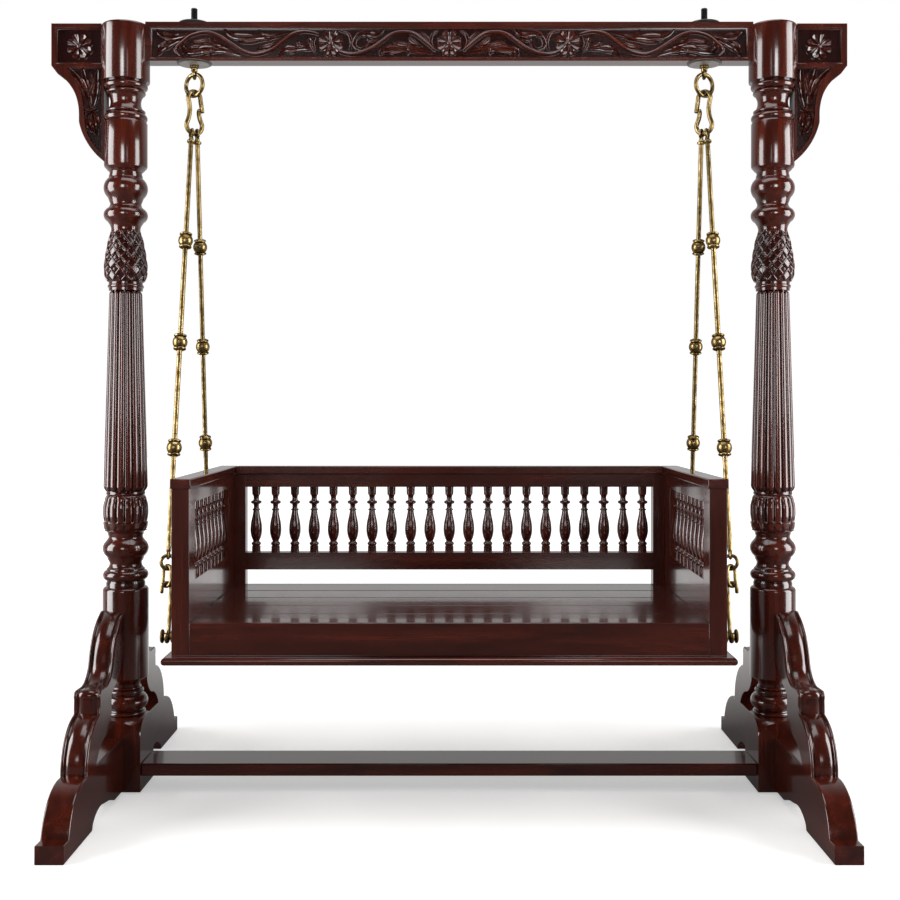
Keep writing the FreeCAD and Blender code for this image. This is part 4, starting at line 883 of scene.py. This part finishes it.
def wire_ring(name, radius, wire, rings=72, sides=20):
    """A ring of round bar standing upright, its hole along Y, a little uneven as forged."""
    let_go()
    bpy.ops.mesh.primitive_torus_add(major_radius=radius, minor_radius=wire, major_segments=rings,
                                     minor_segments=sides, rotation=(math.pi / 2, 0, 0))
    bpy.ops.object.transform_apply(rotation=True)
    ring = name_piece(bpy.context.object, name)
    for vertex in ring.data.vertices:
        angle = math.atan2(vertex.co.z, vertex.co.x)
        middle = Vector((math.cos(angle), 0, math.sin(angle))) * radius
        swell = (1 - 0.05 * (0.5 + 0.5 * math.sin(3 * angle + 1.1))
                 - 0.03 * (0.5 + 0.5 * math.sin(7 * angle)))
        vertex.co = middle + (vertex.co - middle) * swell
    return smooth(ring, 60)


def set_at(piece, origin, across, up):
    """Put a piece made about the origin at its place, its X along across, its Z along up."""
    across, up = Vector(across).normalized(), Vector(up).normalized()
    side = up.cross(across)
    turn = Matrix((across, side, up)).transposed().to_4x4()
    piece.data.transform(Matrix.Translation(Vector(origin)) @ turn)
    return piece


def brass_pair(piece, body, *nodes):
    """Finish a left brass piece and its mirror image on the right."""
    twin = mirror_of(piece, piece.name.replace("left", "right"))
    for made, side in ((piece, "left"), (twin, "right")):
        finish_piece(made, brass, body.replace("SIDE", side),
                     *[node.replace("SIDE", side) for node in nodes], slot="antique_brass")


eye_ring = set_at(wire_ring("eye", EYE, EYE_WIRE, 48, 16), (-HANG_X, 0, EYE_Z), (0, 1, 0),
                  (0, 0, 1))
shank = turn_on_lathe("shank", [
    (0.0070, 1.9285), (0.0083, 1.9305), (0.0083, 1.9372), (0.0076, 1.9378), (0.0076, 1.9384),
    (0.0112, 1.9390), (0.0118, 1.9398), (0.0118, 1.9450), (0.0112, 1.9459)], 48)
shank.data.transform(Matrix.Translation((-HANG_X, 0, 0)))
brass_pair(join("left_brass_eye", [eye_ring, shank]), "stand", "SIDE_eye")

# Ring and pinched hook. Both are bent from round brass bar: a ring of 29 mm radius hangs in the
# eye, and a long hook pinched at its waist hangs in the ring, its upper end sprung outside the
# lower.
RING, RING_WIRE, RING_Z = 0.0292, 0.0056, 1.89315
HOOK_LOW_Z, HOOK_WIRE, LOBE_LOW, LOBE_HIGH, LOBE_GAP = 1.78365, 0.0060, 22.0, 17.5, 74.5


def bent_bar(name, places, sides=7):
    """A round bar bent through places, each (place, radius) in metres."""
    let_go()
    bpy.ops.curve.primitive_nurbs_path_add()
    bar = name_piece(bpy.context.object, name)
    bar.data.splines.clear()
    spline = bar.data.splines.new("POLY")
    spline.points.add(len(places) - 1)
    for point, (place, radius) in zip(spline.points, places):
        point.co, point.radius = (*place, 1), radius
    bar.data.bevel_depth, bar.data.bevel_resolution = 1.0, sides
    bar.data.use_fill_caps, bar.data.twist_mode = True, "MINIMUM"
    bpy.ops.object.convert(target="MESH")
    edit(bar)
    close_up()
    return smooth(bar, 60)


def rounded_ends(line, radius, tip=0.8):
    """Radii along a bar whose two ends are dressed round."""
    count = len(line)
    radii = [radius] * count
    for at, share in ((0, 0.45), (1, 0.85), (-1, 0.45), (-2, 0.85)):
        radii[at] = radius * tip * share
    for at in (2, -3):
        radii[at] = radius * (tip + 1) / 2
    return list(zip(line, radii))


ring = set_at(wire_ring("left_hanging_ring", RING, RING_WIRE, 96, 24), (-HANG_X, 0, RING_Z),
              (-0.866, 0.5, 0), (0, 0, 1))
brass_pair(ring, "SIDE_ring", "SIDE_ring")

# Two lobes of round bar, in millimetres, joined by a waist whose arc bends the other way.
side_x, side_z, WAIST = 101.98, 43.8, 89
low = (side_x * LOBE_LOW / (LOBE_LOW + WAIST), side_z * LOBE_LOW / (LOBE_LOW + WAIST))
high = (side_x * LOBE_HIGH / (LOBE_HIGH + WAIST),
        LOBE_GAP + (side_z - LOBE_GAP) * LOBE_HIGH / (LOBE_HIGH + WAIST))
path = smooth_line([(-22.4, 36.5), (-22.2, 40.0), (-21.4, 47.0), (-19.9, 57.0), (-18.2, 66.0),
                    (-17.3, 75.5)], 4)
path += arc((-17.3, 75.5), (0, LOBE_GAP + LOBE_HIGH), high, 22)
path += arc(high, (side_x - WAIST, side_z), low, 16)
path += arc(low, (0, -LOBE_LOW), (-low[0], low[1]), 26)
path += arc((-low[0], low[1]), (-13.8, 28.0), (-12.9, 44.0), 10)
path.append((-13.0, 46.5))
hook_way = Vector((-0.8192, -0.5736, 0))
hook = bent_bar("left_pinched_hook",
                rounded_ends([(x / 1000, 0, z / 1000) for x, z in path], HOOK_WIRE))
set_at(hook, (-HANG_X, 0, HOOK_LOW_Z), hook_way, (0, 0, 1))
brass_pair(hook, "SIDE_hanger", "SIDE_s_hook")

# Rods, beads, rings, links and hooks. Each long brass rod has an eye forged on both ends, a collar
# under the top eye, and three turned beads threaded on it. A ring, an oval link and a twisted hook
# hang below it, and the hook goes round a stud on the seat's side.
ROD, ROD_EYE, ROD_EYE_WIRE, FOOT_EYE, FOOT_EYE_WIRE = 0.0062, 0.0107, 0.0035, 0.0086, 0.0032
BEAD, BEAD_TALL, BEAD_PLACES = 0.019, 0.044, (0.305, 0.583, 0.861)
LOWER_WIRE, LOWER_RING, LINK, LINK_STRAIGHT = 0.0042, 0.017, 0.0137, 0.024
LOWER_THICK, LINK_GAP, HOOK_TURN, LINK_TURN = 0.0047, 0.0003, 28, -35
ROD_OFFSET, ROD_SAG = 0.008, 0.0009
ROD_TOP_Z = HOOK_LOW_Z - math.sqrt((LOBE_LOW / 1000) ** 2 - ROD_OFFSET ** 2) - ROD_SAG
SEAT_X, STUD_NECK, STUD_Y, STUD_Z = 0.676, 0.018, 0.290, 0.460
CROWN_RADIUS, HOOK_DROP, HOOK_TIP, BEND, TOE = 0.0115, 0.119, 0.015, 0.0130, 0.007
BEAD_FORM = [(0, 0, 0.55), (0.04, 0, 0.66), (0.13, 0.86, 0.66), (0.66, 1.0, 0.66),
             (0.13, 0.86, 0.66), (0.04, 0, 0.55)]


def turned_way(across, outwards, degrees):
    """A way square to a rod, turned from across towards outwards."""
    angle = math.radians(degrees)
    return across * math.cos(angle) + outwards * math.sin(angle)


def stands_for(node, place):
    """A node that both places share goes with the front piece."""
    return [node] if place == "front" else []


for place, way in (("front", -1), ("rear", 1)):
    # The front rod hangs on the outer side of the hook's foot, the rear one on its inner side.
    top = Vector((-HANG_X, 0, ROD_TOP_Z)) - hook_way * way * ROD_OFFSET
    stud_centre = Vector((-SEAT_X - STUD_NECK, way * STUD_Y, STUD_Z))
    # A rod's way sets how its lower hook lies, and that sets where the rod aims.
    foot = stud_centre
    for _ in range(6):
        down = (foot - top).normalized()
        across = (Vector((-1, 0, 0)) - down * down.dot(Vector((-1, 0, 0)))).normalized()
        outwards = across.cross(down)
        if outwards.y * way < 0:
            outwards = -outwards
        hook_across = turned_way(across, outwards, HOOK_TURN)
        foot = stud_centre + hook_across * CROWN_RADIUS - outwards * BEND
    run = (foot - top).length
    hook_top = run - HOOK_DROP
    link_low = hook_top - CROWN_RADIUS + 2 * LOWER_WIRE + LINK_GAP
    link_high = link_low - LINK_STRAIGHT - 2 * LINK
    ring_mid = link_high + 2 * LOWER_WIRE + LINK_GAP - LOWER_RING
    foot_eye = ring_mid - LOWER_RING - (FOOT_EYE - FOOT_EYE_WIRE - LOWER_WIRE - LINK_GAP)
    bar_end = foot_eye - FOOT_EYE
    outline = [(0.0046, 0.0086), (ROD - 0.0004, ROD_EYE + 0.002), (ROD, ROD_EYE + 0.006),
               (ROD, 0.0195), (0.0086, 0.0200), (0.0104, 0.0215), (0.0110, 0.0240),
               (0.0104, 0.0265), (0.0086, 0.0280), (ROD, 0.0285)]
    for seam in (0.0420, 0.0660, 0.2700, 0.3400, 0.5480, 0.6180, 0.8260, 0.8960, bar_end - 0.030):
        outline += [(ROD, seam - 0.0010), (ROD - 0.0007, seam - 0.0005),
                    (ROD - 0.0007, seam + 0.0005), (ROD, seam + 0.0010)]
    outline += [(ROD, bar_end - 0.006), (ROD - 0.0006, bar_end), (0.0046, bar_end + 0.0012)]
    bar = turn_on_lathe("bar", [(radius, -along) for radius, along in reversed(outline)], 32)
    set_at(bar, top, across, -down)
    top_normal = (hook_way - down * hook_way.dot(down)).normalized()
    ring_across = turned_way(across, outwards, HOOK_TURN)
    link_across = turned_way(across, outwards, LINK_TURN)
    top_eye = set_at(wire_ring("top_eye", ROD_EYE, ROD_EYE_WIRE, 48, 16), top,
                     top_normal.cross(down), -down)
    low_eye = set_at(wire_ring("low_eye", FOOT_EYE, FOOT_EYE_WIRE, 48, 16), top + down * foot_eye,
                     ring_across.cross(down), -down)
    rod = join("left_" + place + "_brass_rod", [bar, top_eye, low_eye])
    brass_pair(rod, "SIDE_hanger", "SIDE_" + place + "_rod")
    beads = []
    for along in BEAD_PLACES:
        bead = turn_on_lathe("bead",
                             lathe_outline(-BEAD_TALL / 2, BEAD, [(BEAD_TALL, BEAD_FORM)], 10), 48)
        beads.append(set_at(bead, top + down * along, across, -down))
    brass_pair(join("left_" + place + "_turned_beads", beads), "SIDE_hanger",
               *stands_for("SIDE_rod_beads", place))
    small_ring = wire_ring("left_" + place + "_small_ring", LOWER_RING, LOWER_THICK, 64, 18)
    set_at(small_ring, top + down * ring_mid, ring_across, -down)
    brass_pair(small_ring, "SIDE_hanger", *stands_for("SIDE_lower_rings", place))
    link = wire_ring("left_" + place + "_oval_link", LINK, LOWER_THICK, 64, 18)
    for vertex in link.data.vertices:
        if abs(vertex.co.z) > 1e-6:
            vertex.co.z += math.copysign(LINK_STRAIGHT / 2, vertex.co.z)
    set_at(link, top + down * (link_high + link_low) / 2, link_across, -down)
    brass_pair(link, "SIDE_hanger", *stands_for("SIDE_lower_links", place))
    # The hook is bent in two planes: its crown across, and its foot round the stud.
    crown = top + down * hook_top
    tip_top, shank_top = crown + hook_across * CROWN_RADIUS, crown - hook_across * CROWN_RADIUS
    shank_foot = shank_top + down * HOOK_DROP
    line = [tip_top + down * (HOOK_TIP * share) for share in (1.0, 0.93, 0.8, 0.5, 0.2)]
    line += [crown + hook_across * (CROWN_RADIUS * math.cos(math.radians(angle)))
             - down * (CROWN_RADIUS * math.sin(math.radians(angle)))
             for angle in range(0, 181, 12)]
    line += [shank_top + down * (HOOK_DROP * share) for share in (0.1, 0.3, 0.5, 0.7, 0.9)]
    line += [shank_foot + outwards * (BEND - BEND * math.cos(math.radians(angle)))
             + down * (BEND * math.sin(math.radians(angle)))
             for angle in range(0, 181, 12)]
    line += [line[-1] - down * (TOE * share) for share in (0.4, 0.75, 1.0)]
    twisted = bent_bar("left_" + place + "_twisted_hook", rounded_ends(line, LOWER_THICK, 0.95), 6)
    brass_pair(twisted, "SIDE_hanger", *stands_for("SIDE_lower_hooks", place))

# Hook studs. Cast brass studs let into the corner posts of the seat, with a flange against the
# wood, a neck for the hook and a round head that keeps it on.
form = [(0.0162, 0.0), (0.0170, 0.0008), (0.0170, 0.0052), (0.0150, 0.0074), (0.0100, 0.0084),
        (0.0085, 0.0100), (0.0085, 0.0262), (0.0100, 0.0272), (0.0158, 0.0277), (0.0170, 0.0288),
        (0.0170, 0.0312), (0.0156, 0.0327), (0.0110, 0.0334)]
for place, y in (("front", -STUD_Y), ("rear", STUD_Y)):
    stud = turn_on_lathe("left_" + place + "_hook_stud", form, 64)
    set_at(stud, (-SEAT_X, y, STUD_Z), (0, 1, 0), (-1, 0, 0))
    brass_pair(stud, "seat", *stands_for("hook_studs", place))

# Seat frame. Square mahogany rails and corner posts, mortised together, on a mitred moulding with
# a rounded nose, and a deck of five planks over battens. Every edge is eased and polished.
for node, material in (
        ("seat_front_rail", crosswise_mahogany), ("seat_rear_rail", crosswise_mahogany),
        ("seat_left_rail", deep_mahogany), ("seat_right_rail", deep_mahogany),
        ("front_left_seat_post", upright_mahogany), ("front_right_seat_post", upright_mahogany),
        ("rear_left_seat_post", upright_mahogany), ("rear_right_seat_post", upright_mahogany),
        ("deck_battens", deep_mahogany)):
    dressed(node, node + "_planed", material, "seat", 0.0012)
dressed("deck_planks", "deck_planks_planed", deck_mahogany, "seat", 0.0036, 4)
dressed("base_mouldings", "base_mouldings_planed", crosswise_mahogany, "seat", 0.0010)

# Arms and back. Straight top and lower rails, with a flat cap of the same wood along the top.
# The back's rails are tenoned into two upright stiles beside the corner posts.
for side in ("left", "right"):
    for node in ("arm_top_rail", "arm_lower_rail"):
        dressed(side + "_" + node, side + "_" + node + "_planed", deep_mahogany, "seat", 0.0012)
    dressed(side + "_arm_cap", side + "_arm_cap_planed", deep_mahogany, "seat", 0.0030, 3)
for node in ("back_top_rail", "back_lower_rail"):
    dressed(node, node + "_planed", crosswise_mahogany, "seat", 0.0012)
dressed("back_stiles", "back_stiles_planed", upright_mahogany, "seat", 0.0012)
dressed("back_cap", "back_cap_planed", crosswise_mahogany, "seat", 0.0030, 3)

# Balusters. One turned spindle, copied: 21 in the back and nine in each arm, their dowels in the
# rails. Each has a plain foot, a long vase with a slim neck, a ring, and a plain head.
SPINDLE, SPINDLE_LOW, SPINDLE_TALL = 0.0172, 0.595, 0.193
BACK_PITCH, BACK_Y, ARM_X = 1.198 / 21, 0.305, 0.6545
ARM_Y, ARM_PITCH = -0.23072, 0.050556
SPINDLE_FORM = [
    (0, 0, 0.74), (0.085, 0, 0.74), (0.012, 0, 0.60), (0.053, 0.82, 0.60), (0.03, 0.54, 0.62),
    (0.14, 0.90, 1.0), (0.16, 0.955, 0.80), (0.14, 0.62, 0.50), (0, 0, 0.60), (0.022, 0.68, 0.60),
    (0, 0, 0.47), (0.075, 0.44, 0.52), (0.045, 0.93, 0.55), (0.09, 0.46, 0.62), (0, 0, 0.70),
    (0.118, 0, 0.74)]
spindle = turn_on_lathe("spindle",
                        lathe_outline(SPINDLE_LOW, SPINDLE, [(SPINDLE_TALL, SPINDLE_FORM)], 5), 36)


def spindles(name, places, node):
    made = []
    for x, y in places:
        one = copy_of(spindle, "one")
        one.data.transform(Matrix.Translation((x, y, 0)))
        made.append(one)
    finish_piece(join(name, made), turned_mahogany, "seat", node)


spindles("back_turned_balusters", [((index - 10) * BACK_PITCH, BACK_Y) for index in range(21)],
         "back_balusters")
for side, x in (("left", -ARM_X), ("right", ARM_X)):
    spindles(side + "_arm_turned_balusters",
             [(x, ARM_Y + index * ARM_PITCH) for index in range(9)],
             side + "_arm_balusters")
bpy.data.objects.remove(spindle, do_unlink=True)

# Studio. A plain white floor and backdrop behind a darker room, a large soft lamp at each side,
# a smaller one each side of the camera, one overhead, and the camera straight in front.
def studio_floor():
    """White to the camera, whiter far off so that no horizon shows; grey to reflections."""
    material, tree, shader, place = new_material("painted_white_floor")
    mottle = add_node(tree, "TexNoise", None, {"Vector": place, "Scale": 3.0})
    tones = add_node(tree, "ValToRGB", None, {"Fac": mottle})
    set_stops(tones, [(0.3, "#d6d4d2"), (0.7, "#dcdad8")])
    parts = add_node(tree, "SeparateXYZ", None, {"Vector": place})
    behind = add_node(tree, "MapRange", None, {
        "Value": parts.outputs["Y"], "From Min": 0.6, "From Max": 2.0,
        "To Min": 0.10, "To Max": 1.0})
    rays = add_node(tree, "LightPath")
    seen = add_node(tree, "Math", {"operation": "MAXIMUM"}, {
        0: rays.outputs["Is Camera Ray"], 1: rays.outputs["Is Transmission Ray"]})
    colour = add_node(tree, "MixRGB", {"blend_type": "MULTIPLY"}, {
        "Fac": rays.outputs["Is Glossy Ray"], "Color1": tones, "Color2": behind})
    away = add_node(tree, "VectorMath", {"operation": "LENGTH"}, {0: place})
    far = add_node(tree, "MapRange", {"interpolation_type": "SMOOTHSTEP"}, {
        "Value": away.outputs["Value"], "From Min": 1.6, "From Max": 6.0,
        "To Min": 0.42, "To Max": 1.0})
    lift = add_node(tree, "Math", {"operation": "MULTIPLY"}, {0: seen, 1: far})
    mirrored = add_node(tree, "Math", {"operation": "MULTIPLY"}, {
        0: rays.outputs["Is Glossy Ray"], 1: behind})
    glow = add_node(tree, "Math", {"operation": "MULTIPLY_ADD"}, {0: mirrored, 1: 0.35, 2: lift})
    feed(shader, {"Base Color": colour, "Roughness": 0.6, "Emission Color": linear("#ffffff"),
                  "Emission Strength": glow})
    return material


let_go()
bpy.ops.mesh.primitive_plane_add(size=40)
floor = name_piece(bpy.context.object, "studio_floor")
floor.data.materials.append(studio_floor())

world = bpy.data.worlds.new("white_backdrop")
bpy.context.scene.world = world
world.use_nodes = True
tree = world.node_tree
rays = add_node(tree, "LightPath")
seen = add_node(tree, "Math", {"operation": "MAXIMUM"}, {
    0: rays.outputs["Is Camera Ray"], 1: rays.outputs["Is Transmission Ray"]})
facing = add_node(tree, "TexCoord")
parts = add_node(tree, "SeparateXYZ", None, {"Vector": facing.outputs["Generated"]})
backdrop = add_node(tree, "MapRange", None, {
    "Value": parts.outputs["Y"], "From Min": 0.1, "From Max": 0.6, "To Min": 0.02, "To Max": 0.50})
plain = add_node(tree, "Mix", {"data_type": "FLOAT"}, {
    0: rays.outputs["Is Glossy Ray"], 2: 0.42, 3: backdrop})
strength = add_node(tree, "Math", {"operation": "MAXIMUM"}, {0: seen, 1: plain})
feed(tree.nodes["Background"], {"Color": linear("#ffffff"), "Strength": strength})

for name, place, target, size, power in (
        ("left_side_lamp", (-3.69, -0.97, 1.7), (0, 0, 1.7), (1.9, 3.3), 175),
        ("right_side_lamp", (3.69, -0.97, 1.7), (0, 0, 1.7), (1.9, 3.3), 175),
        ("left_front_lamp", (-1.05, -4.0, 1.9), (-1.05, 0, 1.9), (1.0, 1.5), 5),
        ("right_front_lamp", (1.05, -4.0, 1.9), (1.05, 0, 1.9), (1.0, 1.5), 5),
        ("overhead_lamp", (0, -0.4, 3.6), (0, 0, 0), (2.6, 1.8), 45)):
    let_go()
    bpy.ops.object.light_add(type="AREA", location=place)
    lamp = bpy.context.object
    lamp.name = name
    lamp.data.shape, lamp.data.size, lamp.data.size_y = "RECTANGLE", size[0], size[1]
    lamp.data.energy = power
    if "front" in name:
        lamp.data.spread = math.radians(52)
    lamp.rotation_euler = (Vector(target) - Vector(place)).to_track_quat("-Z", "Y").to_euler()

bpy.ops.object.camera_add(location=(0, -3.243, 1.0289), rotation=(math.pi / 2, 0, 0))
camera = bpy.context.object
camera.data.lens, camera.data.sensor_width = 48, 36
camera.data.shift_x, camera.data.shift_y = 0.0008, -0.05
bpy.context.scene.camera = camera
bpy.context.scene.view_settings.view_transform = "Standard"
